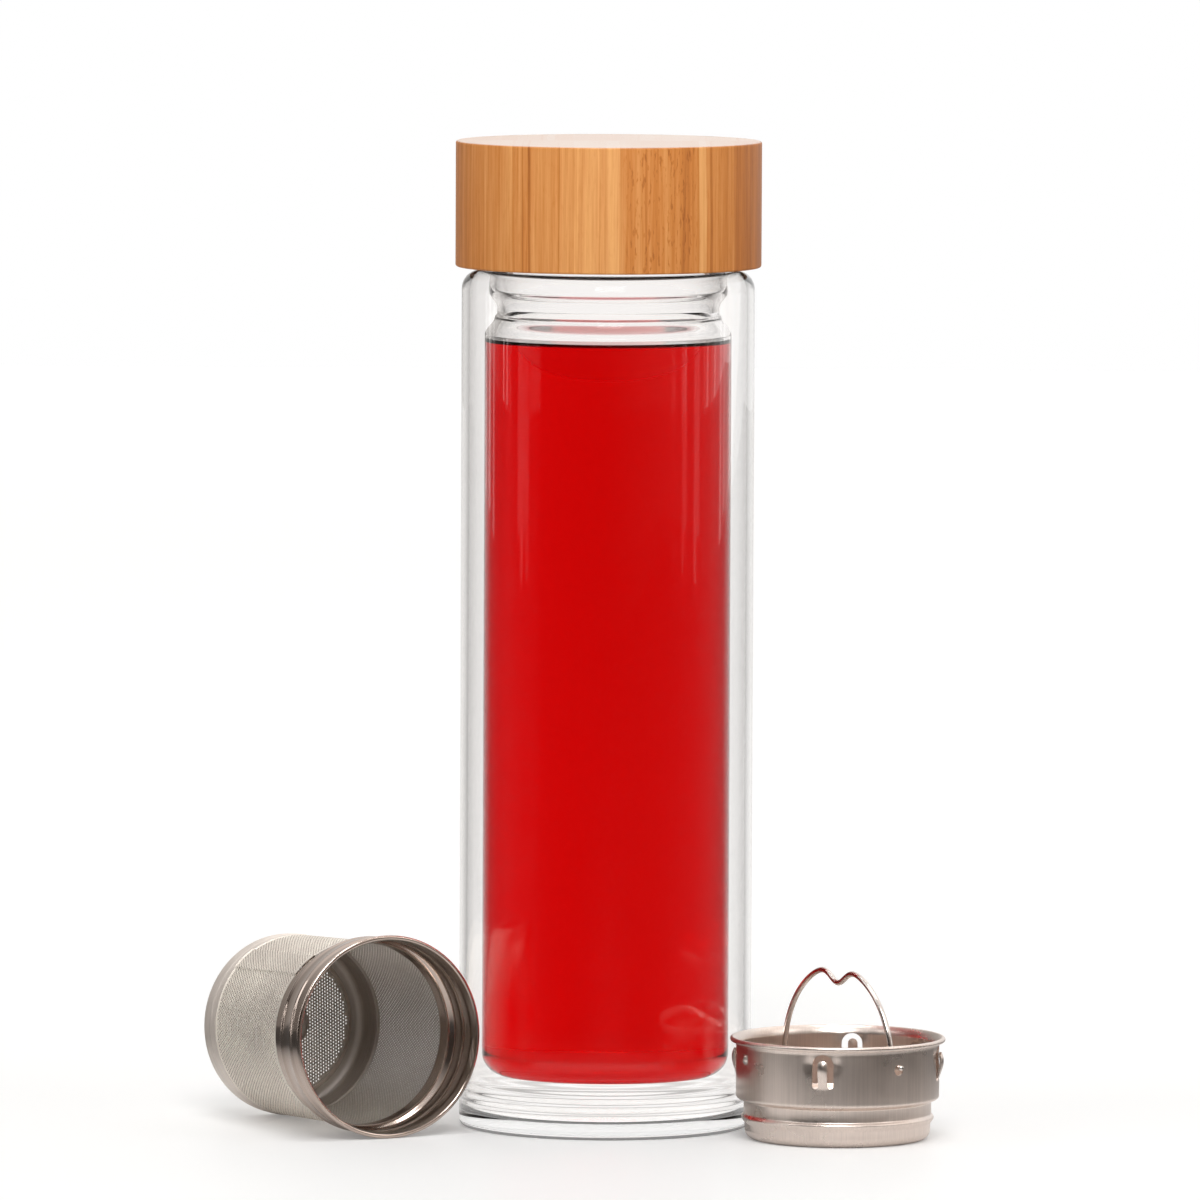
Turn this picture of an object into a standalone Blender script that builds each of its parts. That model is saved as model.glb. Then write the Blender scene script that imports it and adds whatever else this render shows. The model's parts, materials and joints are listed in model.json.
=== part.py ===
"""Double-walled glass tea bottle with a bamboo screw lid, its strainer cup and its tea basket.

Lengths are in metres and +Z is up. The origin is the centre of the bottle's base, on the surface
that the bottle stands on. The strainer cup stands at its right and the basket lies at its left.
"""

import math

import bmesh
import bpy
from mathutils import Matrix, Vector

# Facets of the round pieces
GLASS_SIDES = 36
STEEL_SIDES = 30
WALL_SIDES = 22
HOLE_SIDES = 6
PIVOT_HOLE_SIDES = 12
CORNER_STEPS = 3
ROLL_STEPS = 4
EASE_STEPS = 3

# Play that pieces keep where they touch, and the reach of a cut past what it cuts
SEAT_GAP = 0.0003
CUT_OVERRUN = 0.0015
MERGE_DISTANCE = 0.000001

# Outer glass
BOTTLE_R = 0.0356
OUTER_WALL = 0.0019
BASE_THICKNESS = 0.0042
BASE_CORNER_R = 0.0026
BASE_INNER_CORNER_R = 0.0030
SHOULDER_HEIGHT = 0.2085
SHOULDER_CORNER_R = 0.0045

# Inner glass, which holds the tea and ends in the threaded neck
AIR_GAP = 0.0037
BOTTOM_AIR_GAP = 0.0085
VESSEL_WALL = 0.0018
VESSEL_CORNER_R = 0.0057
VESSEL_SHOULDER_DROP = 0.0157
WAIST_DEPTH = 0.0030
WAIST_DROP = 0.0093
BULGE_DEPTH = 0.0008
BULGE_DROP = 0.0048
NECK_FLARE = 0.0005
NECK_LENGTH = 0.0175
NECK_WALL = 0.0022
NECK_RIM_R = 0.0008

# Lid
THREAD_ROOM = 0.0015
LINER_WALL = 0.0016
LINER_TOP_THICKNESS = 0.0012
LINER_SETBACK = 0.0010
SEAL_THICKNESS = 0.0020
SEAL_WIDTH = 0.0031
CAP_WALL = 0.00325
CAP_TOP_THICKNESS = 0.0099
CAP_EDGE_R = 0.0006
CAP_GAP = 0.0009

# Steel sheet of the strainer cup and the basket, and the roll of their rims
STEEL = 0.0005
ROLL_R = 0.0006

# Strainer cup, whose rim rests in the waist of the inner glass
CUP_PLAY = 0.0006
CUP_RIM_OVERHANG = 0.00145
CUP_HEIGHT = 0.0249
LEDGE_WIDTH = 0.0019
LEDGE_RISE = 0.0012
PLUG_HEIGHT = 0.0088
PLUG_BEAD = 0.0002
PLUG_BEAD_HEIGHT = 0.0056
PLUG_BEAD_WIDTH = 0.0022
PLUG_FOOT_STEP = 0.00025
CUP_CORNER_R = 0.0024
CUP_FLANGE_WIDTH = 0.0030
SCREEN_HOLE_R = 0.0012
SCREEN_HOLE_SETBACK = 0.00025
SCREEN_HOLE_RINGS = 3

# Spring tongues lanced out of the strainer cup's wall
TONGUE_COUNT = 4
TONGUE_BEARING = -9.4
TONGUE_WINDOW_WIDTH = 0.0050
TONGUE_WINDOW_HEIGHT = 0.0082
TONGUE_WINDOW_DROP = 0.0021
TONGUE_WIDTH = 0.0021
TONGUE_BOW = 0.0013
TONGUE_TIP_GAP = 0.0014
TONGUE_CREASE_SHARE = 0.45

# Wire bail, hinged in two holes of the strainer cup's wall
BAIL_BEARING = 35.9
WIRE_R = 0.0007
WIRE_PLAY = 0.0006
PIVOT_DROP = 0.0055
BAIL_WALL_GAP = 0.0027
BAIL_HEIGHT = 0.0223
BAIL_DIP = 0.0039
BAIL_DIP_REACH = 0.0040
BAIL_END_REACH = 0.0014
BAIL_BEND_R = 0.0016
BAIL_BEND_STEPS = 4
BAIL_ARCH_POINTS = 27

# Tea basket, whose collar takes the strainer cup's plug
BASKET_LENGTH = 0.0594
PLUG_PLAY = 0.0002
COLLAR_LENGTH = 0.0165
COLLAR_RIB = 0.0004
COLLAR_RIB_DROP = 0.0060
COLLAR_RIB_WIDTH = 0.0020
COLLAR_STEP = 0.0011
COLLAR_STEP_DROP = 0.0112
COLLAR_STEP_WIDTH = 0.0018
BASKET_TAPER = 0.00035
BASKET_BASE_HEIGHT = 0.0082
BASKET_CORNER_R = 0.0025
BASKET_PANEL_RAISE = 0.0008
BASKET_FOOT_WIDTH = 0.0013
WALL_HOLE_R = 0.0018
WALL_HOLE_ROWS = 5
WALL_MARGIN = 0.0006
BASE_HOLE_R = 0.0010
BASE_HOLE_CENTRE_R = 0.0084
BASE_HOLE_RING_PITCH = 0.0028
BASE_HOLE_COUNTS = (9, 12, 15)

# Where the loose pieces stand: bearings are degrees from the front, positive to the right
CUP_STAND_BEARING = 64.46
CUP_STAND_GAP = 0.0007
BASKET_STAND_BEARING = -57.1
BASKET_STAND_GAP = 0.0007
BASKET_AIM = 27.2

# Radii and heights that follow from the sizes above
VESSEL_R = BOTTLE_R - OUTER_WALL - AIR_GAP
VESSEL_BOTTOM = BASE_THICKNESS + BOTTOM_AIR_GAP
WAIST_R = VESSEL_R - WAIST_DEPTH
BULGE_R = VESSEL_R - BULGE_DEPTH
NECK_R = VESSEL_R + NECK_FLARE
NECK_TOP = SHOULDER_HEIGHT + NECK_LENGTH
LINER_BORE_R = NECK_R + THREAD_ROOM
LINER_R = LINER_BORE_R + LINER_WALL
CAP_BORE_R = LINER_R + SEAT_GAP
CAP_R = CAP_BORE_R + CAP_WALL
CAP_BOTTOM = SHOULDER_HEIGHT + CAP_GAP
SEAL_BOTTOM = NECK_TOP + SEAT_GAP
LINER_DISC_BOTTOM = SEAL_BOTTOM + SEAL_THICKNESS + SEAT_GAP
LINER_TOP = LINER_DISC_BOTTOM + LINER_TOP_THICKNESS
CAP_BORE_TOP = LINER_TOP + SEAT_GAP
CAP_TOP = CAP_BORE_TOP + CAP_TOP_THICKNESS
CUP_R = WAIST_R - VESSEL_WALL - CUP_PLAY
CUP_RIM_R = CUP_R + CUP_RIM_OVERHANG
PLUG_R = CUP_R - LEDGE_WIDTH
PLUG_FOOT_R = PLUG_R - PLUG_FOOT_STEP
BAIL_R = CUP_R - STEEL - BAIL_WALL_GAP
TONGUE_WINDOW_BASE = CUP_HEIGHT - TONGUE_WINDOW_DROP - TONGUE_WINDOW_HEIGHT
PIVOT_HEIGHT = CUP_HEIGHT - PIVOT_DROP
COLLAR_R = PLUG_R + PLUG_BEAD + PLUG_PLAY + STEEL
BASKET_LIP_R = CUP_R
BASKET_TOP_R = COLLAR_R - COLLAR_STEP
BASKET_BASE_R = BASKET_TOP_R - BASKET_TAPER

# Finishes: colour, roughness, metallic, transmission
FINISHES = {
    "glass": ((0.93, 0.95, 0.95), 0.02, 0.0, 0.9),
    "bamboo": ((0.62, 0.34, 0.09), 0.45, 0.0, 0.0),
    "liner": ((0.86, 0.84, 0.80), 0.35, 0.0, 0.0),
    "seal": ((0.90, 0.89, 0.87), 0.55, 0.0, 0.0),
    "steel": ((0.66, 0.64, 0.62), 0.22, 1.0, 0.0),
    "satin_steel": ((0.60, 0.58, 0.56), 0.34, 1.0, 0.0),
    "wire": ((0.72, 0.71, 0.70), 0.15, 1.0, 0.0),
}


def clear_scene():
    """Remove every object of the open scene."""
    for thing in list(bpy.data.objects):
        bpy.data.objects.remove(thing, do_unlink=True)


def finish(name, kind):
    """Make one piece's own material from a finish."""
    colour, roughness, metallic, transmission = FINISHES[kind]
    material = bpy.data.materials.new(name)
    material.use_nodes = True
    shader = material.node_tree.nodes["Principled BSDF"]
    shader.inputs["Base Color"].default_value = (*colour, 1.0)
    shader.inputs["Roughness"].default_value = roughness
    shader.inputs["Metallic"].default_value = metallic
    shader.inputs["Transmission Weight"].default_value = transmission
    return material


def link(name, data, kind=None, parent=None):
    """Put a mesh or curve in the scene as a named object, under its parent."""
    thing = bpy.data.objects.new(name, data)
    bpy.context.collection.objects.link(thing)
    thing.parent = parent
    if kind:
        data.materials.append(finish(name, kind))
    return thing


def frame_empty(name, location, rotation=None, parent=None):
    """Place an empty that carries a group of pieces."""
    empty = bpy.data.objects.new(name, None)
    bpy.context.collection.objects.link(empty)
    empty.parent = parent
    empty.location = location
    if rotation:
        empty.rotation_mode = "QUATERNION"
        empty.rotation_quaternion = rotation
    return empty


def mesh_from(bm, name):
    """Close a bmesh's seams, turn its faces outward and write it to a mesh."""
    bmesh.ops.remove_doubles(bm, verts=bm.verts, dist=MERGE_DISTANCE)
    bmesh.ops.recalc_face_normals(bm, faces=bm.faces)
    mesh = bpy.data.meshes.new(name)
    bm.to_mesh(mesh)
    bm.free()
    mesh.shade_smooth()
    mesh.set_sharp_from_angle(angle=math.radians(35))
    return mesh


def arc(centre, radius, start, end, steps=CORNER_STEPS):
    """Points (r, z) of an arc about centre, from start to end in degrees."""
    angles = [math.radians(start + (end - start) * step / steps) for step in range(steps + 1)]
    return [(centre[0] + radius * math.cos(a), centre[1] + radius * math.sin(a)) for a in angles]


def ease(start, end, steps=EASE_STEPS):
    """Points of a soft S between two points (r, z), upright at both ends, without the first."""
    shares = [step / steps for step in range(1, steps + 1)]
    return [
        (start[0] + (end[0] - start[0]) * (1 - math.cos(math.pi * share)) / 2,
         start[1] + (end[1] - start[1]) * share)
        for share in shares
    ]


def inward(profile, thickness):
    """The profile moved to its left by a wall's thickness, square to each stretch."""
    points = [Vector(point) for point in profile]
    moved = []
    for index, point in enumerate(points):
        before = (point - points[index - 1]).normalized() if index else None
        after = (points[index + 1] - point).normalized() if index + 1 < len(points) else None
        before = before or after
        after = after or before
        bisector = (before + after).normalized()
        normal = Vector((-bisector.y, bisector.x))
        square = Vector((-before.y, before.x))
        moved.append(tuple(point + normal * (thickness / normal.dot(square))))
    return moved


def turned(name, section, sides, kind, parent=None):
    """Turn a section of points (r, z) about Z into one closed solid.

    A section that ends on the axis is an open chain, and any other is a closed loop.
    """
    bm = bmesh.new()
    ring = [bm.verts.new((r, 0.0, z)) for r, z in section]
    pairs = list(zip(ring, ring[1:]))
    if section[0][0] > 0.0:
        pairs.append((ring[-1], ring[0]))
    edges = [bm.edges.new(pair) for pair in pairs]
    bmesh.ops.spin(bm, geom=ring + edges, cent=(0, 0, 0), axis=(0, 0, 1), dvec=(0, 0, 0),
                   angle=2 * math.pi, steps=sides, use_merge=True)
    return link(name, mesh_from(bm, name), kind, parent)


def cut(body, cutter, operation="DIFFERENCE"):
    """Cut a body by another object, or join it, and keep that object out of the model."""
    cutter.hide_render = True
    cutter.display_type = "WIRE"
    modifier = body.modifiers.new(cutter.name, "BOOLEAN")
    modifier.operation = operation
    modifier.solver = "EXACT"
    modifier.object = cutter


def punches(name, places, radius, depth, sides, parent=None):
    """One cutter of prisms, each centred and turned by its matrix in places."""
    bm = bmesh.new()
    for place in places:
        bmesh.ops.create_cone(bm, cap_ends=True, segments=sides, radius1=radius, radius2=radius,
                              depth=depth, matrix=place)
    return link(name, mesh_from(bm, name), parent=parent)


def facing(bearing):
    """Unit vector of a bearing in degrees from the front, positive to the right."""
    angle = math.radians(bearing)
    return Vector((math.sin(angle), -math.cos(angle), 0.0))


def radial(direction, radius, height):
    """Matrix that lays a prism's axis along a level direction, at a radius and height."""
    turn = direction.to_track_quat("Z", "Y").to_matrix().to_4x4()
    return Matrix.Translation(direction * radius + Vector((0.0, 0.0, height))) @ turn


# Bottle


def make_outer_glass():
    """Outer shell: thick flat base, straight wall and a shoulder that turns in to the neck."""
    top = SHOULDER_HEIGHT - SHOULDER_CORNER_R
    edge = BOTTLE_R - SHOULDER_CORNER_R
    inner_r = BOTTLE_R - OUTER_WALL
    seam = NECK_R + SEAT_GAP
    base_centre = BOTTLE_R - BASE_CORNER_R
    floor_centre = inner_r - BASE_INNER_CORNER_R
    section = [(0.0, 0.0)]
    section += arc((base_centre, BASE_CORNER_R), BASE_CORNER_R, -90, 0)
    section += arc((edge, top), SHOULDER_CORNER_R, 0, 90)
    section += [(seam, SHOULDER_HEIGHT), (seam, SHOULDER_HEIGHT - OUTER_WALL)]
    section += arc((edge, top), SHOULDER_CORNER_R - OUTER_WALL, 90, 0)[1:]
    section += arc((floor_centre, BASE_THICKNESS + BASE_INNER_CORNER_R), BASE_INNER_CORNER_R, 0, -90)
    section += [(0.0, BASE_THICKNESS)]
    return turned("outer_glass", section, GLASS_SIDES, "glass")


def make_inner_glass():
    """Inner vessel: round bottom corner, straight wall, drawn-in waist, bulge and neck."""
    shoulder = (VESSEL_R, SHOULDER_HEIGHT - VESSEL_SHOULDER_DROP)
    waist = (WAIST_R, SHOULDER_HEIGHT - WAIST_DROP)
    bulge = (BULGE_R, SHOULDER_HEIGHT - BULGE_DROP)
    neck = (NECK_R, SHOULDER_HEIGHT)
    corner = (VESSEL_R - VESSEL_CORNER_R, VESSEL_BOTTOM + VESSEL_CORNER_R)
    body = [(0.0, VESSEL_BOTTOM)]
    body += arc(corner, VESSEL_CORNER_R, -90, 0)
    body += [shoulder] + ease(shoulder, waist) + ease(waist, bulge)
    inside = inward(body, VESSEL_WALL)
    rim_z = NECK_TOP - NECK_RIM_R
    bore_r = NECK_R - NECK_WALL
    neck_path = [neck] + arc((NECK_R - NECK_RIM_R, rim_z), NECK_RIM_R, 0, 90, 2)
    neck_path += arc((bore_r + NECK_RIM_R, rim_z), NECK_RIM_R, 90, 180, 2)
    neck_path += [(bore_r, SHOULDER_HEIGHT)]
    inside[0] = (0.0, inside[0][1])
    return turned("inner_glass", body + neck_path + inside[::-1], GLASS_SIDES, "glass")


# Lid


def make_cap():
    """Turned bamboo lid with a bore for its liner."""
    section = [(0.0, CAP_BORE_TOP), (CAP_BORE_R, CAP_BORE_TOP), (CAP_BORE_R, CAP_BOTTOM)]
    section += arc((CAP_R - CAP_EDGE_R, CAP_BOTTOM + CAP_EDGE_R), CAP_EDGE_R, -90, 0, 2)
    section += arc((CAP_R - CAP_EDGE_R, CAP_TOP - CAP_EDGE_R), CAP_EDGE_R, 0, 90, 2)
    section += [(0.0, CAP_TOP)]
    return turned("bamboo_cap", section, GLASS_SIDES, "bamboo")


def make_liner():
    """Moulded cup inside the lid, which carries the lid's thread."""
    section = [
        (0.0, LINER_DISC_BOTTOM),
        (LINER_BORE_R, LINER_DISC_BOTTOM),
        (LINER_BORE_R, CAP_BOTTOM + LINER_SETBACK),
        (LINER_R, CAP_BOTTOM + LINER_SETBACK),
        (LINER_R, LINER_TOP),
        (0.0, LINER_TOP),
    ]
    return turned("cap_liner", section, STEEL_SIDES, "liner")


def make_seal():
    """Silicone ring between the neck's rim and the liner."""
    outer = LINER_BORE_R - SEAT_GAP
    inner = outer - SEAL_WIDTH
    top = SEAL_BOTTOM + SEAL_THICKNESS
    section = [(inner, SEAL_BOTTOM), (outer, SEAL_BOTTOM), (outer, top), (inner, top)]
    return turned("cap_seal", section, STEEL_SIDES, "seal")


# Strainer cup


def make_cup_wall(parent):
    """Drawn cup: flanged foot, plug with a bead, ledge, upper band and rolled rim."""
    foot = (PLUG_FOOT_R - CUP_CORNER_R, CUP_CORNER_R)
    bead_low = PLUG_BEAD_HEIGHT - PLUG_BEAD_WIDTH / 2
    bead_top = PLUG_BEAD_HEIGHT + PLUG_BEAD_WIDTH / 2
    roll = (CUP_RIM_R - ROLL_R, CUP_HEIGHT - ROLL_R)
    wall_top = CUP_HEIGHT - 3 * ROLL_R
    wall = [(foot[0] - CUP_FLANGE_WIDTH, 0.0)]
    wall += arc(foot, CUP_CORNER_R, -90, 0)
    wall += [
        (PLUG_FOOT_R, bead_low),
        (PLUG_R + PLUG_BEAD, PLUG_BEAD_HEIGHT - PLUG_BEAD_WIDTH / 4),
        (PLUG_R + PLUG_BEAD, PLUG_BEAD_HEIGHT + PLUG_BEAD_WIDTH / 4),
        (PLUG_R, bead_top),
        (PLUG_R, PLUG_HEIGHT),
        (CUP_R, PLUG_HEIGHT + LEDGE_RISE),
        (CUP_R, wall_top),
    ]
    section = wall + arc(roll, ROLL_R, -150, 130, ROLL_STEPS) + inward(wall, STEEL)[::-1]
    return turned("strainer_cup", section, STEEL_SIDES, "steel", parent)


def tongue_outline():
    """Side view (r, z) of one spring tongue, bowed out from its root to its tip."""
    root = TONGUE_WINDOW_BASE - STEEL
    tip = TONGUE_WINDOW_BASE + TONGUE_WINDOW_HEIGHT - TONGUE_TIP_GAP
    length = tip - TONGUE_WINDOW_BASE
    crease = TONGUE_WINDOW_BASE + length * TONGUE_CREASE_SHARE
    outside = [
        (CUP_R - STEEL / 4, root),
        (CUP_R - STEEL / 4, TONGUE_WINDOW_BASE),
        (CUP_R + TONGUE_BOW, crease),
        (CUP_R + TONGUE_BOW / 2, tip),
    ]
    return outside + inward(outside, STEEL / 2)[::-1]


def make_tongues(cup, parent):
    """Open four windows in the cup's wall and leave a bowed spring tongue in each."""
    window_bm = bmesh.new()
    tongue_bm = bmesh.new()
    height = TONGUE_WINDOW_BASE + TONGUE_WINDOW_HEIGHT / 2
    size = Matrix.Diagonal((TONGUE_WINDOW_WIDTH, TONGUE_WINDOW_HEIGHT, 2 * CUT_OVERRUN, 1.0))
    outline = tongue_outline()
    for index in range(TONGUE_COUNT):
        direction = facing(TONGUE_BEARING + index * 360 / TONGUE_COUNT)
        across = direction.cross(Vector((0.0, 0.0, 1.0)))
        bmesh.ops.create_cube(window_bm, size=1.0, matrix=radial(direction, CUP_R, height) @ size)
        sides = []
        for offset in (-TONGUE_WIDTH / 2, TONGUE_WIDTH / 2):
            places = [direction * r + across * offset + Vector((0.0, 0.0, z)) for r, z in outline]
            sides.append([tongue_bm.verts.new(place) for place in places])
        tongue_bm.faces.new(sides[0])
        tongue_bm.faces.new(sides[1])
        count = len(outline)
        for step in range(count):
            after = (step + 1) % count
            tongue_bm.faces.new((sides[0][step], sides[0][after], sides[1][after], sides[1][step]))
    cut(cup, link("tongue_windows", mesh_from(window_bm, "tongue_windows"), parent=parent))
    cut(cup, link("tongues", mesh_from(tongue_bm, "tongues"), parent=parent), "UNION")


def make_pivot_holes(cup, parent):
    """Drill the two holes that the bail's ends turn in."""
    ends = (facing(BAIL_BEARING), facing(BAIL_BEARING + 180))
    places = [radial(direction, CUP_R, PIVOT_HEIGHT) for direction in ends]
    radius = WIRE_R + WIRE_PLAY
    cut(cup, punches("pivot_holes", places, radius, 2 * CUT_OVERRUN, PIVOT_HOLE_SIDES, parent))


def make_screen(parent):
    """Perforated disc that lies on the flange of the strainer cup's foot."""
    bottom = STEEL + SEAT_GAP
    top = bottom + STEEL
    radius = PLUG_FOOT_R - CUP_CORNER_R
    section = [(0.0, bottom), (radius, bottom), (radius, top), (0.0, top)]
    screen = turned("strainer_screen", section, STEEL_SIDES, "satin_steel", parent)
    last_ring = radius - CUP_FLANGE_WIDTH - SCREEN_HOLE_SETBACK - SCREEN_HOLE_R
    pitch = last_ring / SCREEN_HOLE_RINGS
    places = [Matrix.Translation((0.0, 0.0, bottom))]
    for ring in range(1, SCREEN_HOLE_RINGS + 1):
        for index in range(HOLE_SIDES * ring):
            direction = facing(index * 360 / (HOLE_SIDES * ring))
            centre = direction * (pitch * ring) + Vector((0.0, 0.0, bottom))
            places.append(Matrix.Translation(centre))
    cut(screen, punches("screen_holes", places, SCREEN_HOLE_R, 2 * CUT_OVERRUN, HOLE_SIDES, parent))
    return screen


def bail_path():
    """Points (u, w) of half the bail, from its end in the wall to the dip of its arch."""
    tip = CUP_R + BAIL_END_REACH
    lift = BAIL_BEND_R
    arch_start = math.asin(lift / BAIL_HEIGHT)
    foot_u = BAIL_R * math.cos(arch_start)
    bend = arc((foot_u + BAIL_BEND_R, lift), BAIL_BEND_R, 270, 180, BAIL_BEND_STEPS)
    path = [(tip, 0.0)] + bend
    half = BAIL_ARCH_POINTS // 2
    for index in range(1, half + 1):
        angle = arch_start + (math.pi / 2 - arch_start) * index / half
        u = BAIL_R * math.cos(angle)
        dip = BAIL_DIP * math.exp(-(u / BAIL_DIP_REACH) ** 2)
        path.append((u, BAIL_HEIGHT * math.sin(angle) - dip))
    return path


def make_bail(parent):
    """Bent wire handle whose ends turn out into the holes of the strainer cup."""
    half = bail_path()
    path = half + [(-u, w) for u, w in half[-2::-1]]
    axis = facing(BAIL_BEARING)
    curve = bpy.data.curves.new("bail", "CURVE")
    curve.dimensions = "3D"
    curve.bevel_depth = WIRE_R
    curve.bevel_resolution = 2
    curve.use_fill_caps = True
    spline = curve.splines.new("POLY")
    spline.points.add(len(path) - 1)
    for point, (u, w) in zip(spline.points, path):
        place = axis * u + Vector((0.0, 0.0, w))
        point.co = (*place, 1.0)
    return link("bail", curve, "wire", parent)


def make_strainer():
    """Strainer cup, standing at the right of the bottle."""
    reach = BOTTLE_R + CUP_RIM_R + CUP_STAND_GAP
    stand = frame_empty("strainer_stand", facing(CUP_STAND_BEARING) * reach)
    cup = make_cup_wall(stand)
    make_tongues(cup, stand)
    make_pivot_holes(cup, stand)
    make_screen(stand)
    pivot = frame_empty("bail_pivot", (0.0, 0.0, PIVOT_HEIGHT), parent=stand)
    make_bail(pivot)


# Tea basket


def make_collar(parent):
    """Plain collar: rolled lip, rib, and the step in to the perforated wall."""
    roll = (BASKET_LIP_R - ROLL_R, BASKET_LENGTH - ROLL_R)
    rib_z = BASKET_LENGTH - COLLAR_RIB_DROP
    step_z = BASKET_LENGTH - COLLAR_STEP_DROP
    wall = [(BASKET_TOP_R, BASKET_LENGTH - COLLAR_LENGTH)]
    wall += [(BASKET_TOP_R, step_z - COLLAR_STEP_WIDTH)]
    wall += ease(wall[-1], (COLLAR_R, step_z), CORNER_STEPS)
    wall += [
        (COLLAR_R, rib_z - COLLAR_RIB_WIDTH / 2),
        (COLLAR_R + COLLAR_RIB, rib_z - COLLAR_RIB_WIDTH / 4),
        (COLLAR_R + COLLAR_RIB, rib_z + COLLAR_RIB_WIDTH / 4),
        (COLLAR_R, rib_z + COLLAR_RIB_WIDTH / 2),
        (COLLAR_R, BASKET_LENGTH - 3 * ROLL_R),
    ]
    section = wall + arc(roll, ROLL_R, -150, 130, ROLL_STEPS) + inward(wall, STEEL)[::-1]
    return turned("basket_collar", section, STEEL_SIDES, "steel", parent)


def make_basket_base(parent):
    """Drawn base: short side, round corner, foot and a raised, perforated panel."""
    corner = (BASKET_BASE_R - BASKET_CORNER_R, BASKET_CORNER_R)
    foot_r = corner[0] - BASKET_FOOT_WIDTH
    panel_r = foot_r - BASKET_PANEL_RAISE
    outside = [(0.0, BASKET_PANEL_RAISE), (panel_r, BASKET_PANEL_RAISE), (foot_r, 0.0)]
    outside += arc(corner, BASKET_CORNER_R, -90, 0)
    outside += [(BASKET_BASE_R, BASKET_BASE_HEIGHT)]
    inside = inward(outside, STEEL)
    inside[0] = (0.0, inside[0][1])
    base = turned("basket_base", outside + inside[::-1], STEEL_SIDES, "steel", parent)
    places = []
    for ring, count in enumerate(BASE_HOLE_COUNTS):
        radius = BASE_HOLE_CENTRE_R + ring * BASE_HOLE_RING_PITCH
        for index in range(count):
            centre = facing(index * 360 / count) * radius + Vector((0.0, 0.0, BASKET_PANEL_RAISE))
            places.append(Matrix.Translation(centre))
    cut(base, punches("base_holes", places, BASE_HOLE_R, 2 * CUT_OVERRUN, HOLE_SIDES, parent))
    return base


def make_basket_wall(parent):
    """Perforated sheet wall: a slight taper, with a staggered row of holes up each facet."""
    low = BASKET_BASE_HEIGHT + SEAT_GAP
    high = BASKET_LENGTH - COLLAR_LENGTH - SEAT_GAP
    outside = [(BASKET_BASE_R, low), (BASKET_TOP_R, high)]
    section = outside + [(r - STEEL, z) for r, z in outside[::-1]]
    wall = turned("basket_wall", section, WALL_SIDES, "satin_steel", parent)
    facet = 360 / WALL_SIDES
    span = high - low - 2 * WALL_MARGIN
    pitch = span / (WALL_HOLE_ROWS + 1 / 2)
    places = []
    for column in range(WALL_SIDES):
        angle = math.radians((column + 1 / 2) * facet)
        direction = Vector((math.cos(angle), math.sin(angle), 0.0))
        start = low + WALL_MARGIN + pitch / 2 + (column % 2) * pitch / 2
        for row in range(WALL_HOLE_ROWS):
            places.append(radial(direction, BASKET_BASE_R, start + row * pitch))
    cut(wall, punches("wall_holes", places, WALL_HOLE_R, 2 * CUT_OVERRUN, HOLE_SIDES, parent))
    return wall


def basket_frame():
    """Empty at the basket's base centre, with +Z along the basket to its mouth.

    The basket lies on its lip and on the side of its base, and its lip ends just short of the
    bottle's wall.
    """
    run = BASKET_LENGTH - BASKET_CORNER_R - ROLL_R
    pitch = math.atan2(BASKET_LIP_R - BASKET_BASE_R, run)
    level = facing(BASKET_AIM)
    up = Vector((0.0, 0.0, 1.0))
    axis = level * math.cos(pitch) + up * math.sin(pitch)
    across = up.cross(level)
    nearest = facing(BASKET_STAND_BEARING) * (BOTTLE_R + BASKET_STAND_GAP)
    lip_centre = nearest - across * BASKET_LIP_R + up * (BASKET_LIP_R * math.cos(pitch))
    base_centre = lip_centre - axis * (BASKET_LENGTH - ROLL_R)
    return frame_empty("basket_stand", base_centre, axis.to_track_quat("Z", "X"))


def make_basket():
    """Tea basket, lying on its side at the left of the bottle."""
    stand = basket_frame()
    make_collar(stand)
    make_basket_wall(stand)
    make_basket_base(stand)


def main():
    clear_scene()
    make_outer_glass()
    make_inner_glass()
    make_cap()
    make_liner()
    make_seal()
    make_strainer()
    make_basket()


main()
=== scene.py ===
"""Looks of a double-walled glass tea bottle with a bamboo lid, a strainer cup and a tea basket.

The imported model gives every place. Each sub-assembly is a class that holds its own sizes in metres,
builds its meshes around its nodes and dresses them. Each finish is a small frozen class.
"""

import json
import logging
import math
from dataclasses import dataclass
from enum import Enum
from typing import Callable, Iterable, Optional, Sequence, Union

import bmesh
import bpy
from mathutils import Matrix, Quaternion, Vector
from mathutils.geometry import delaunay_2d_cdt


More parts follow.
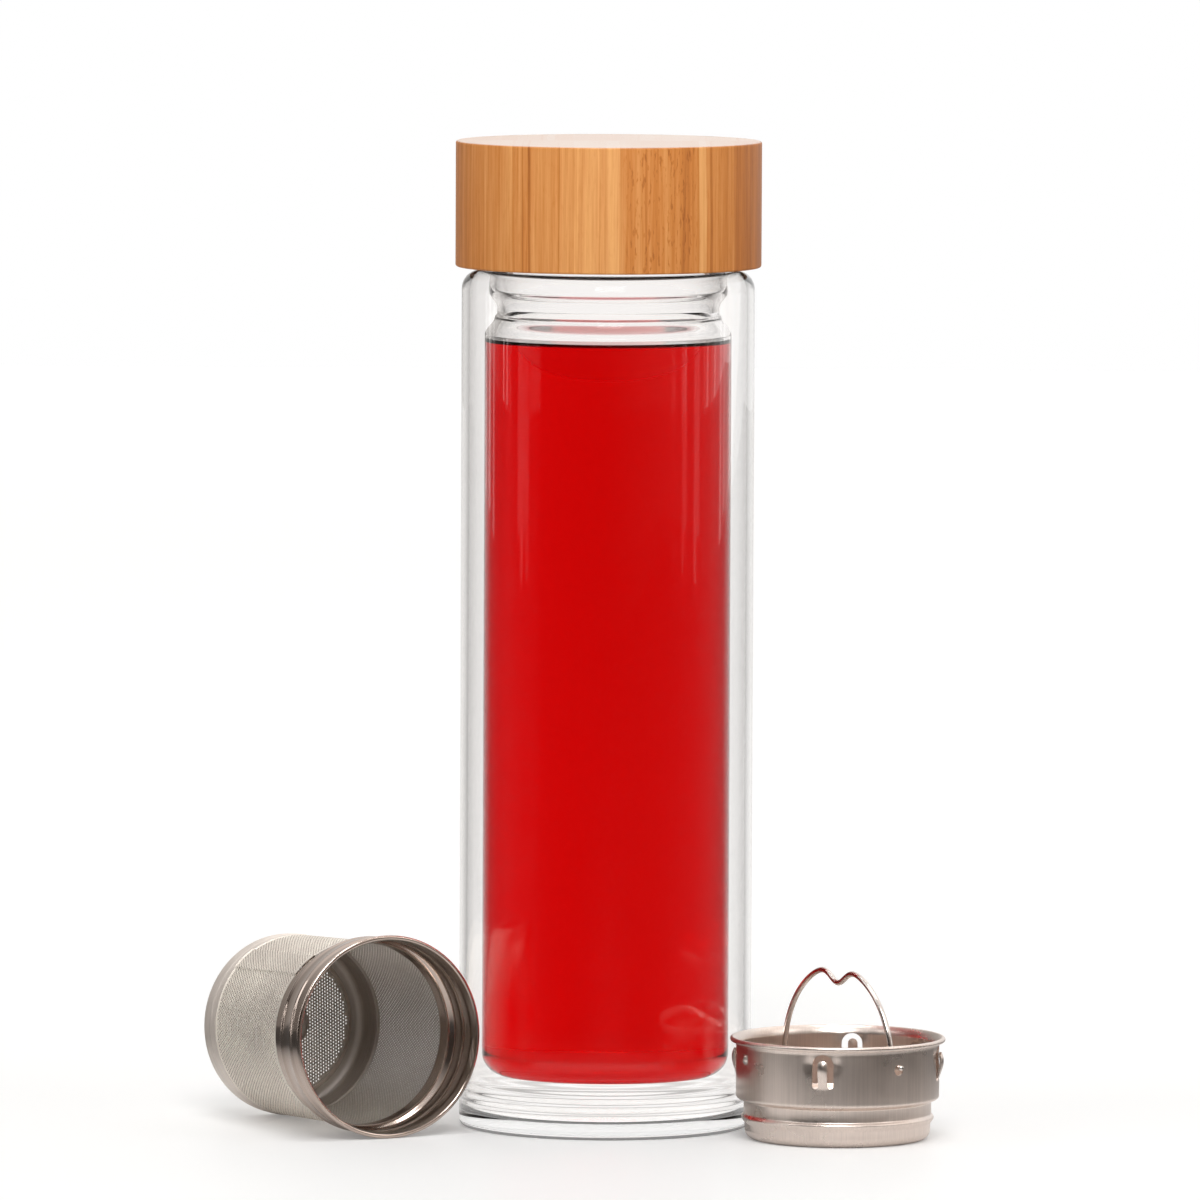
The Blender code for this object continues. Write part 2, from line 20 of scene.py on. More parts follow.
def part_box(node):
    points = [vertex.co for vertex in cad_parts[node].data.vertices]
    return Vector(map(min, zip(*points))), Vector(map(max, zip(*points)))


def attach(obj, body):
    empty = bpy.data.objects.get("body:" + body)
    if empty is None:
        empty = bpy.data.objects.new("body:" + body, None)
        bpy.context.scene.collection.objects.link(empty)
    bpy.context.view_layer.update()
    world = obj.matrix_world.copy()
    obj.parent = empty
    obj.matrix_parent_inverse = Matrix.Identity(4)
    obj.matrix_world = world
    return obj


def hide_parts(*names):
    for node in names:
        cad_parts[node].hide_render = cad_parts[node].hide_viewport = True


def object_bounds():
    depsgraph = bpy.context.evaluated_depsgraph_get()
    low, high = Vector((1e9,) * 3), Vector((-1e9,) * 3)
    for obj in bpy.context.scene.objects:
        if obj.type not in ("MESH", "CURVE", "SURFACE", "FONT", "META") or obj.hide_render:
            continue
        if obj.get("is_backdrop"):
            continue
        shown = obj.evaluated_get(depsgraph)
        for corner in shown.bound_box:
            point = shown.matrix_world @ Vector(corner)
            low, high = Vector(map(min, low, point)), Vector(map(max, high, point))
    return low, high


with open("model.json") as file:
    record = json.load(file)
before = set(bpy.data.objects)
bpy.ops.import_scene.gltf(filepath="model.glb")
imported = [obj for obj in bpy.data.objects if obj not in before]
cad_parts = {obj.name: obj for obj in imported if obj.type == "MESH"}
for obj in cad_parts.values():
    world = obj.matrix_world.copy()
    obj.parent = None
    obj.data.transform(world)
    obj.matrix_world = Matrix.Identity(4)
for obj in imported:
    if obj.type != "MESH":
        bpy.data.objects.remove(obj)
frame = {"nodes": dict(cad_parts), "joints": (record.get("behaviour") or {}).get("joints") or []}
CAD_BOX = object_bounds()

LOG = logging.getLogger("tea_bottle")

Point = tuple[float, float]
Colour = tuple[float, float, float]
Scale = tuple[float, float, float]
Stop = tuple[float, Colour]
Socket = bpy.types.NodeSocket

SMOOTH_ANGLE = math.radians(32)
UP = Vector((0.0, 0.0, 1.0))
WHITE = (1.0, 1.0, 1.0)
NEAR = 0.00001


# Shapes


def arc(centre: Point, radius: float, start: float, end: float, steps: int = 10) -> list[Point]:
    """Points of an arc in the plane of a turned section.

    Args:
        centre: Radius and height of the arc's centre.
        radius: Radius of the arc.
        start: First angle in degrees, from the outward direction towards +Z.
        end: Last angle in degrees.
        steps: Number of chords.

    Returns:
        The points from start to end.
    """
    angles = [math.radians(start + (end - start) * step / steps) for step in range(steps + 1)]
    return [(centre[0] + radius * math.cos(a), centre[1] + radius * math.sin(a)) for a in angles]


def ease(start: Point, end: Point, steps: int = 14) -> list[Point]:
    """Points of a soft S between two points, upright at both ends.

    Args:
        start: Where the S leaves, which is not repeated in the result.
        end: Where the S arrives.
        steps: Number of chords.

    Returns:
        The points after start, up to end.
    """
    shares = [step / steps for step in range(1, steps + 1)]
    return [
        (start[0] + (end[0] - start[0]) * (1 - math.cos(math.pi * share)) / 2,
         start[1] + (end[1] - start[1]) * share)
        for share in shares
    ]


def straight(start: Point, end: Point, steps: int) -> list[Point]:
    """Points of a straight run from start to end, both included, in so many steps."""
    return [
        (start[0] + (end[0] - start[0]) * step / steps,
         start[1] + (end[1] - start[1]) * step / steps)
        for step in range(steps + 1)
    ]


def inward(profile: Sequence[Point], thickness: float) -> list[Point]:
    """Move a profile to its left by a wall's thickness, square to each stretch.

    Args:
        profile: Points of the outer side.
        thickness: Wall that lies between the two sides.

    Returns:
        The points of the inner side, in the same order.
    """
    points = [Vector(point) for point in profile]
    moved = []
    for index, point in enumerate(points):
        before = (point - points[index - 1]).normalized() if index else None
        after = (points[index + 1] - point).normalized() if index + 1 < len(points) else None
        before = before or after
        after = after or before
        bisector = (before + after).normalized()
        normal = Vector((-bisector.y, bisector.x))
        square = Vector((-before.y, before.x))
        moved.append(tuple(point + normal * (thickness / normal.dot(square))))
    return moved


def rolled(wall: Sequence[Point], lip_r: float, top: float, roll: float, sheet: float) -> list[Point]:
    """Close the section of a drawn wall with a rolled rim and the wall's inner side.

    Args:
        wall: Points of the outer side, running up.
        lip_r: Radius of the rim's outside.
        top: Height of the rim's top.
        roll: Radius of the roll itself.
        sheet: Thickness of the wall.

    Returns:
        The closed section.
    """
    rim = arc((lip_r - roll, top - roll), roll, -150, 130, 18)
    return [*wall, *rim, *inward(wall, sheet)[::-1]]


def facing(bearing: float) -> Vector:
    """Level unit vector of a bearing in degrees from the front, positive to the right."""
    angle = math.radians(bearing)
    return Vector((math.sin(angle), -math.cos(angle), 0.0))


def linked(name: str, data: bpy.types.ID) -> bpy.types.Object:
    """Make an object and link it to the scene.

    Args:
        name: Name of the object.
        data: Its mesh, lamp or camera.

    Returns:
        The object.
    """
    thing = bpy.data.objects.new(name, data)
    bpy.context.scene.collection.objects.link(thing)
    return thing


def object_from(name: str, vertices: Sequence[Sequence[float]], faces: Sequence[Sequence[int]],
                flat: Optional[set[int]] = None) -> bpy.types.Object:
    """Make an object whose faces are smooth apart from some flat ones.

    Args:
        name: Name of the object.
        vertices: Places of the vertices.
        faces: Vertex numbers of each face.
        flat: Numbers of the faces to shade flat; all others are smooth with sharp creases.

    Returns:
        The new object, linked to the scene.
    """
    mesh = bpy.data.meshes.new(name)
    mesh.from_pydata([tuple(v) for v in vertices], [], [tuple(f) for f in faces])
    mesh.update()
    mesh.shade_smooth()
    if flat is None:
        mesh.set_sharp_from_angle(angle=SMOOTH_ANGLE)
    else:
        mesh.polygons.foreach_set("use_smooth", [i not in flat for i in range(len(faces))])
    return linked(name, mesh)


def rework(thing: bpy.types.Object, change: Callable[[bmesh.types.BMesh], object]) -> None:
    """Change a mesh in place.

    Args:
        thing: The object whose mesh is changed.
        change: What is done to its geometry.
    """
    bm = bmesh.new()
    bm.from_mesh(thing.data)
    change(bm)
    bm.to_mesh(thing.data)
    bm.free()


def face_outward(bm: bmesh.types.BMesh) -> None:
    """Turn all faces of a closed mesh outward."""
    bmesh.ops.recalc_face_normals(bm, faces=bm.faces)


def skin(rings: Sequence[Sequence[int]], capped: bool = False) -> list[tuple[int, ...]]:
    """Faces between rings of vertices that follow each other.

    Args:
        rings: Vertex numbers of each ring, all equally long; a ring may be one number repeated.
        capped: Whether the first and the last ring are filled.

    Returns:
        The faces, which look outward where the rings run against the clock, from low to high.
    """
    faces = []
    for low, high in zip(rings, rings[1:]):
        for side in range(len(low)):
            after = (side + 1) % len(low)
            face = dict.fromkeys((low[side], low[after], high[after], high[side]))
            if len(face) > 2:
                faces.append(tuple(face))
    if capped:
        faces += [tuple(reversed(rings[0])), tuple(rings[-1])]
    return faces


def lathe(section: Sequence[Point], sides: int, closed: bool,
          swell: Optional[Callable[[float, float, float], float]] = None) -> tuple[list, list]:
    """Turn a section about Z.

    Args:
        section: Points (radius, height), running up the outer side.
        sides: Number of facets around.
        closed: Whether the last point joins the first.
        swell: What to add to the radius at (angle, radius, height), such as a thread.

    Returns:
        The vertices and the faces, with a single vertex for each point on the axis.
    """
    vertices, rings = [], []
    for radius, height in section:
        if radius <= 0.0:
            rings.append([len(vertices)] * sides)
            vertices.append((0.0, 0.0, height))
            continue
        ring = []
        for side in range(sides):
            angle = math.tau * side / sides
            reach = radius + (swell(angle, radius, height) if swell else 0.0)
            ring.append(len(vertices))
            vertices.append((reach * math.cos(angle), reach * math.sin(angle), height))
        rings.append(ring)
    return vertices, skin(rings + rings[:1] if closed else rings)


def turned(name: str, section: Sequence[Point], sides: int,
           swell: Optional[Callable[[float, float, float], float]] = None) -> bpy.types.Object:
    """Make a turned object; a section that ends on the axis is an open chain, any other a loop."""
    return object_from(name, *lathe(section, sides, section[0][0] > 0.0, swell))


def tube(name: str, path: Sequence[Vector], radius: float, sides: int,
         cap_steps: int = 4) -> bpy.types.Object:
    """Sweep a round wire along a path and round its two ends.

    Args:
        name: Name of the object.
        path: Points along the wire's middle.
        radius: Radius of the wire.
        sides: Number of facets around.
        cap_steps: Rings of each domed end.

    Returns:
        The wire as an object.
    """
    runs = [(b - a).normalized() for a, b in zip(path, path[1:])]
    heads = [runs[0]] + [(a + b).normalized() for a, b in zip(runs, runs[1:])] + [runs[-1]]
    side_way = heads[0].orthogonal().normalized()
    rings: list[tuple[Vector, Vector, Vector, float]] = []
    for place, head in zip(path, heads):
        side_way = (side_way - head * side_way.dot(head)).normalized()
        rings.append((place, side_way.copy(), head.cross(side_way), radius))
    dome = [math.pi / 2 * step / cap_steps for step in range(1, cap_steps)]
    first, last = rings[0], rings[-1]
    for angle in dome:
        reach, size = radius * math.sin(angle), radius * math.cos(angle)
        rings.insert(0, (first[0] - heads[0] * reach, first[1], first[2], size))
        rings.append((last[0] + heads[-1] * reach, last[1], last[2], size))
    vertices = []
    for place, across, over, size in rings:
        for side in range(sides):
            angle = math.tau * side / sides
            vertices.append(place + (across * math.cos(angle) + over * math.sin(angle)) * size)
    loops = [range(start, start + sides) for start in range(0, len(vertices), sides)]
    return object_from(name, vertices, skin(loops, capped=True))


@dataclass
class PerforatedBand:
    """Round sheet wall with staggered rows of fine holes between two plain edges.

    The tiles' corners are numbered in half tiles around and in thirds of a row up the wall. The plain
    edges have numbers edge_mark beyond them.
    """

    low_r: float
    high_r: float
    low: float
    high: float
    sheet: float
    pitch: float
    hole_r: float
    margin: float
    seam_bearing: float
    seam_width: float
    seam_lift: float
    edge_mark: int = 9

    def place(self, angle: float, height: float, depth: float) -> tuple[float, float, float]:
        """Put a point of the unrolled sheet in its place on the wall.

        Args:
            angle: Angle about the wall's axis in radians.
            height: Height along the axis.
            depth: How far the point lies under the outer side.

        Returns:
            The point in the wall's own space.
        """
        share = (height - self.low) / (self.high - self.low)
        radius = self.low_r + (self.high_r - self.low_r) * share - depth
        turn = (angle - math.radians(self.seam_bearing) + math.pi) % math.tau - math.pi
        if abs(turn) * radius < self.seam_width / 2:
            radius += self.seam_lift
        return radius * math.cos(angle), radius * math.sin(angle), height

    def build(self, name: str) -> bpy.types.Object:
        """Lay hexagonal tiles, each with its hole, around and up the wall.

        Args:
            name: Name of the object.

        Returns:
            The wall as one closed sheet.
        """
        columns = round(math.tau * self.low_r / self.pitch)
        step_up = self.pitch * math.sqrt(3) / 2
        rows = int((self.high - self.low - 2 * self.margin) / step_up)
        start = self.low + (self.high - self.low - (rows - 1) * step_up) / 2
        half_turn = math.pi / columns
        vertices: list[tuple[float, float, float]] = []
        corners: dict[tuple[int, int, int], int] = {}

        def corner(across: int, third: int, layer: int, height: Optional[float] = None) -> int:
            """Vertex at a corner of the tiles, made when it is first asked for.

            Args:
                across: Half tiles around.
                third: Thirds of a row up.
                layer: 0 outside and 1 inside.
                height: Height, where it isn't that of the row.

            Returns:
                The vertex's number.
            """
            key = (across % (2 * columns), third, layer)
            if key not in corners:
                level = start + third * step_up / 3 if height is None else height
                corners[key] = len(vertices)
                vertices.append(self.place(key[0] * half_turn, level, layer * self.sheet))
            return corners[key]

        ways = ((0, 2), (-1, 1), (-1, -1), (0, -2), (1, -1), (1, 1))
        turns = [math.radians(90 + 60 * k) for k in range(len(ways))]
        faces, flat = [], set()
        for row in range(rows):
            for column in range(columns):
                across, third = 2 * column + row % 2, 3 * row
                holes = []
                for layer in (0, 1):
                    holes.append([])
                    for turn in turns:
                        angle = across * half_turn + self.hole_r * math.cos(turn) / self.low_r
                        level = start + third * step_up / 3 + self.hole_r * math.sin(turn)
                        holes[layer].append(len(vertices))
                        vertices.append(self.place(angle, level, layer * self.sheet))
                for k, (du, dv) in enumerate(ways):
                    after = (k + 1) % len(ways)
                    eu, ev = ways[after]
                    outer = [corner(across + du, third + dv, 0), corner(across + eu, third + ev, 0)]
                    inner = [corner(across + du, third + dv, 1), corner(across + eu, third + ev, 1)]
                    faces.append((outer[0], outer[1], holes[0][after], holes[0][k]))
                    faces.append((inner[1], inner[0], holes[1][k], holes[1][after]))
                    flat.add(len(faces))
                    faces.append((holes[0][k], holes[0][after], holes[1][after], holes[1][k]))
        self.close_edges(corner, rows, columns, faces, flat)
        return object_from(name, vertices, faces, flat)

    def close_edges(self, corner: Callable[..., int], rows: int, columns: int,
                    faces: list, flat: set[int]) -> None:
        """Fill the zigzag edges of the tiles out to the plain round edges of the sheet.

        Args:
            corner: Gives a tile corner's vertex number.
            rows: Number of rows of holes.
            columns: Number of holes in a row.
            faces: The list that new faces go to.
            flat: Numbers of the faces that are shaded flat.
        """
        parity = (rows - 1) % 2
        edges = (
            (lambda u: -2 if u % 2 == 0 else -1, -self.edge_mark, self.low),
            (lambda u: 3 * (rows - 1) + (2 if u % 2 == parity else 1), 3 * rows + self.edge_mark,
             self.high),
        )
        for side, (zigzag, mark, height) in enumerate(edges):
            for u in range(2 * columns):
                quads = []
                for layer in (0, 1):
                    quads.append((corner(u, zigzag(u), layer), corner(u + 1, zigzag(u + 1), layer),
                                  corner(u + 1, mark, layer, height), corner(u, mark, layer, height)))
                outer, inner = quads
                rim = (outer[2], outer[3], inner[3], inner[2])
                turned_over = side == 0
                faces.append(outer[::-1] if turned_over else outer)
                faces.append(inner if turned_over else inner[::-1])
                flat.add(len(faces))
                faces.append(rim[::-1] if turned_over else rim)


def perforated_disc(radius: float, sides: int, zone: Point, pitch: float, hole_r: float,
                    bottom: float, sheet: float, crown: Callable[[float], float],
                    rings: Sequence[float], rimmed: bool) -> tuple[list, list, set[int]]:
    """Make a flat round sheet with fine holes in a ring-shaped zone.

    Args:
        radius: Radius of the sheet.
        sides: Number of facets of its edge.
        zone: Inner and outer radius of the zone that holds holes.
        pitch: Distance between holes.
        hole_r: Radius of a hole.
        bottom: Height of the lower side.
        sheet: Thickness.
        crown: Extra height at a radius, for a pressed shape.
        rings: Radii where the plain parts get points of their own.
        rimmed: Whether the outer edge is closed, for a sheet that stands alone.

    Returns:
        The vertices, the faces and the numbers of the faces to shade flat.
    """
    points = [Vector((radius * math.cos(math.tau * k / sides),
                      radius * math.sin(math.tau * k / sides))) for k in range(sides)]
    loops, owners = [list(range(sides))], [0] * sides
    step_up = pitch * math.sqrt(3) / 2
    reach = int(zone[1] / step_up) + 1
    hole_points, fewest_points = 8, 12
    within_edges, merge = 1, 1e-7
    edge_share = 0.999
    for row in range(-reach, reach + 1):
        for column in range(-reach, reach + 1):
            centre = Vector(((column + row % 2 / 2) * pitch, row * step_up))
            if not zone[0] < centre.length < zone[1]:
                continue
            loop = []
            for k in range(hole_points):
                angle = math.tau * k / hole_points
                loop.append(len(points))
                points.append(centre + Vector((math.cos(angle), math.sin(angle))) * hole_r)
            owners += [len(loops)] * hole_points
            loops.append(loop)
    for ring in rings:
        count = max(fewest_points, round(math.tau * ring / pitch))
        for k in range(count):
            angle = math.tau * k / count
            points.append(Vector((math.cos(angle), math.sin(angle))) * ring)
            owners.append(0)
    edges = [(loop[k], loop[(k + 1) % len(loop)]) for loop in loops for k in range(len(loop))]
    flat_points, _, triangles, origins, *_ = delaunay_2d_cdt(points, edges, [], within_edges, merge)
    owner = [owners[origin[0]] for origin in origins]
    triangles = [t for t in triangles if not owner[t[0]] or len({owner[v] for v in t}) > 1]
    count = len(flat_points)
    vertices = [(p.x, p.y, bottom + crown(p.length)) for p in flat_points]
    vertices += [(p.x, p.y, bottom + sheet + crown(p.length)) for p in flat_points]
    faces = [tuple(reversed(t)) for t in triangles]
    faces += [tuple(v + count for v in t) for t in triangles]
    used: dict[tuple[int, int], int] = {}
    for triangle in triangles:
        for a, b in zip(triangle, list(triangle[1:]) + [triangle[0]]):
            used[(a, b)] = used.get((a, b), 0) + 1
    flat = set()
    for a, b in used:
        if (b, a) in used:
            continue
        on_edge = min(flat_points[a].length, flat_points[b].length) > radius * edge_share
        if on_edge and not rimmed:
            continue
        flat.add(len(faces))
        faces.append((a, b, b + count, a + count))
    return vertices, faces, flat


def punch(body: bpy.types.Object, cutters: Sequence[bpy.types.Object]) -> None:
    """Cut openings out of a mesh for good.

    Args:
        body: The object to cut.
        cutters: Closed objects whose space is taken away; they are removed afterwards.
    """
    for cutter in cutters:
        modifier = body.modifiers.new(cutter.name, "BOOLEAN")
        modifier.operation = "DIFFERENCE"
        modifier.solver = "EXACT"
        modifier.object = cutter
    bpy.context.view_layer.update()
    shape = body.evaluated_get(bpy.context.evaluated_depsgraph_get())
    mesh = bpy.data.meshes.new_from_object(shape)
    body.modifiers.clear()
    body.data = mesh
    for cutter in cutters:
        bpy.data.objects.remove(cutter, do_unlink=True)


def axis_frame(foot_node: str, head_node: str) -> tuple[Matrix, float]:
    """Place of a round piece that lies askew, read from two of its nodes.

    Args:
        foot_node: Node at the low end of the axis.
        head_node: Node at the high end of the axis.

    Returns:
        A matrix with its origin at the foot's end and +Z towards the head, and the whole length.
    """
    middles = []
    for name in (foot_node, head_node):
        places = {tuple(round(c, 7) for c in v.co) for v in frame["nodes"][name].data.vertices}
        middles.append(sum((Vector(p) for p in places), Vector()) / len(places))
    axis = (middles[1] - middles[0]).normalized()
    along = [v.co.dot(axis) for name in (foot_node, head_node)
             for v in frame["nodes"][name].data.vertices]
    origin = middles[0] + axis * (min(along) - middles[0].dot(axis))
    turn = axis.to_track_quat("Z", "X").to_matrix().to_4x4()
    return Matrix.Translation(origin) @ turn, max(along) - min(along)


# Finishes


def paint(red: float, green: float, blue: float) -> Colour:
    """Turn a colour as a paint chart gives it, 0 to 255, into the light that it sends back."""
    return tuple(
        (c / 255 / 12.92) if c <= 10 else ((c / 255 + 0.055) / 1.055) ** 2.4
        for c in (red, green, blue)
    )


class Graph:
    """Node tree of a material or world, with short calls for what the finishes share."""

    def __init__(self, owner: bpy.types.ID) -> None:
        """Start from the shader and the output that a new material or world has.

        Args:
            owner: The material or world.
        """
        self.material = owner
        owner.use_nodes = True
        self.tree = owner.node_tree
        self.shader = self.tree.nodes.get("Principled BSDF")
        self.output = self.tree.nodes.get("Material Output")
        self.spot = self.node("ShaderNodeTexCoord").outputs["Object"]

    @classmethod
    def of_material(cls, name: str) -> "Graph":
        """Start a new material."""
        return cls(bpy.data.materials.new(name))

    def node(self, kind: str, **settings: object) -> bpy.types.Node:
        """Add a node.

        Args:
            kind: Type of the node.
            settings: Options of the node.

        Returns:
            The node.
        """
        node = self.tree.nodes.new(kind)
        for key, value in settings.items():
            setattr(node, key, value)
        return node

    def feed(self, value: object, socket: Socket) -> None:
        """Link an output to an input, or write a plain value into it.

        Args:
            value: An output of another node, or a number or colour.
            socket: The input.
        """
        if isinstance(value, Socket):
            self.tree.links.new(value, socket)
        else:
            socket.default_value = value

    def set(self, **values: object) -> None:
        """Set inputs of the surface shader.

        Args:
            values: What each input gets, with underscores for the spaces in its name.
        """
        for key, value in values.items():
            if isinstance(value, tuple) and len(value) == 3:
                value = (*value, 1.0)
            self.feed(value, self.shader.inputs[key.replace("_", " ")])

    def maths(self, operation: str, first: object, second: object = 0.0,
              third: object = 0.0) -> Socket:
        """Add a sum of one, two or three values.

        Args:
            operation: What is done with them.
            first: First value.
            second: Second value.
            third: Third value.

        Returns:
            The result.
        """
        node = self.node("ShaderNodeMath", operation=operation)
        for value, socket in zip((first, second, third), node.inputs):
            self.feed(value, socket)
        return node.outputs[0]

    def part(self, axis: str, source: Optional[Socket] = None) -> Socket:
        """Take one coordinate of a vector.

        Args:
            axis: X, Y or Z.
            source: The vector; without one, the point on the surface.

        Returns:
            The coordinate.
        """
        node = self.node("ShaderNodeSeparateXYZ")
        self.feed(source or self.spot, node.inputs[0])
        return node.outputs[axis]

    def stretched(self, scale: Scale) -> Socket:
        """Scale the surface's coordinates.

        Args:
            scale: Factor along each axis.

        Returns:
            The scaled coordinates.
        """
        node = self.node("ShaderNodeMapping")
        self.feed(self.spot, node.inputs["Vector"])
        self.feed(scale, node.inputs["Scale"])
        return node.outputs[0]

    def noise(self, scale: Union[float, Scale], detail: float, roughness: float = 0.55) -> Socket:
        """Make a soft random value, near one half, that varies with place.

        Args:
            scale: How finely it varies, as one number or one for each axis.
            detail: How many finer layers it has.
            roughness: How strong the finer layers are.

        Returns:
            The value.
        """
        node = self.node("ShaderNodeTexNoise")
        even = isinstance(scale, float)
        for key, value in (("Vector", self.spot if even else self.stretched(scale)),
                           ("Scale", scale if even else 1.0), ("Detail", detail),
                           ("Roughness", roughness)):
            self.feed(value, node.inputs[key])
        return node.outputs[0]

    def spread(self, value: Socket, low: float, high: float, to_low: float = 0.0,
               to_high: float = 1.0) -> Socket:
        """Map a range of values onto another one, and hold it at both ends.

        Args:
            value: The value to map.
            low: Start of its range.
            high: End of its range.
            to_low: What the start becomes.
            to_high: What the end becomes.

        Returns:
            The mapped value.
        """
        node = self.node("ShaderNodeMapRange", clamp=True)
        for key, number in (("Value", value), ("From Min", low), ("From Max", high),
                            ("To Min", to_low), ("To Max", to_high)):
            self.feed(number, node.inputs[key])
        return node.outputs[0]

    def ramp(self, value: Socket, stops: Iterable[Stop], stepped: bool = False) -> Socket:
        """Turn a value from 0 to 1 into a colour by a list of stops.

        Args:
            value: The value that picks the colour.
            stops: Positions with their colours.
            stepped: Whether each colour holds until the next stop.

        Returns:
            The colour.
        """
        node = self.node("ShaderNodeValToRGB")
        ramp = node.color_ramp
        ramp.interpolation = "CONSTANT" if stepped else "LINEAR"
        for index, (position, colour) in enumerate(stops):
            element = ramp.elements[index] if index < 2 else ramp.elements.new(position)
            element.position = position
            element.color = (*colour, 1.0)
        self.feed(value, node.inputs[0])
        return node.outputs[0]

    def mix(self, factor: object, first: object, second: object, blend: str = "MIX") -> Socket:
        """Mix two colours.

        Args:
            factor: Share of the mix.
            first: First colour.
            second: Second colour.
            blend: How the second acts on the first.

        Returns:
            The mixed colour.
        """
        node = self.node("ShaderNodeMix", data_type="RGBA", blend_type=blend)
        for value, key in ((factor, 0), (first, 6), (second, 7)):
            if isinstance(value, tuple) and len(value) == 3:
                value = (*value, 1.0)
            self.feed(value, node.inputs[key])
        return node.outputs[2]

    def rays(self) -> tuple[Socket, Socket]:
        """Tell apart the rays that reach a surface or the room.

        Returns:
            1 on rays that were mirrored, and 1 on rays that come straight or through clear glass.
        """
        path = self.node("ShaderNodeLightPath")
        mirrored = self.maths("GREATER_THAN", path.outputs["Glossy Depth"], 0.5)
        seen = self.maths("MAXIMUM", path.outputs["Is Camera Ray"], path.outputs["Is Transmission Ray"])
        return mirrored, self.maths("MULTIPLY", seen, self.maths("SUBTRACT", 1.0, mirrored))

    def bump(self, height: Socket, distance: float, strength: float) -> None:
        """Roughen the surface.

        Args:
            height: Share of the full height at each place.
            distance: The full height in metres.
            strength: Share of the effect.
        """
        node = self.node("ShaderNodeBump")
        node.inputs["Strength"].default_value = strength
        node.inputs["Distance"].default_value = distance
        self.feed(height, node.inputs["Height"])
        self.feed(node.outputs[0], self.shader.inputs["Normal"])


class Streaks(Enum):
    """Which way the fine drawing marks of a sheet or wire run."""

    ALONG = (2600.0, 2600.0, 45.0)
    AROUND = (120.0, 120.0, 3800.0)
    FINE = (900.0, 900.0, 900.0)


@dataclass(frozen=True)
class ClearGlass:
    """Drawn borosilicate tube: clear, with the faint long waves of its drawing."""

    name: str
    mirror: Colour
    tint: Colour = (0.995, 0.987, 0.982)
    ior: float = 1.47
    haze: float = 0.012
    haze_scale: float = 90.0
    waves: Scale = (260.0, 260.0, 5.0)
    wave_depth: float = 0.000006

    def make(self) -> bpy.types.Material:
        """Build the material.

        Returns:
            The material.
        """
        graph = Graph.of_material(self.name)
        haze = graph.noise(self.haze_scale, 2.0)
        graph.set(Base_Color=self.tint, Transmission_Weight=1.0, IOR=self.ior,
                  Specular_Tint=self.mirror, Roughness=graph.spread(haze, 0.3, 0.8, 0.0, self.haze))
        graph.bump(graph.noise(self.waves, 2.0), self.wave_depth, 0.6)
        return graph.material


@dataclass(frozen=True)
class Infusion:
    """Clear red tea that takes up green and blue light along its depth."""

    name: str
    kept: Colour = (0.945, 0.0, 0.10)
    strength: float = 150.0
    ior: float = 1.333
    haze: float = 0.006
    haze_scale: float = 120.0

    def make(self) -> bpy.types.Material:
        """Build the material.

        Returns:
            The material.
        """
        graph = Graph.of_material(self.name)
        haze = graph.noise(self.haze_scale, 2.0)
        graph.set(Base_Color=WHITE, Transmission_Weight=1.0, IOR=self.ior,
                  Roughness=graph.spread(haze, 0.3, 0.8, 0.0, self.haze))
        absorb = graph.node("ShaderNodeVolumeAbsorption")
        absorb.inputs["Color"].default_value = (*self.kept, 1.0)
        absorb.inputs["Density"].default_value = self.strength
        graph.feed(absorb.outputs[0], graph.output.inputs["Volume"])
        return graph.material


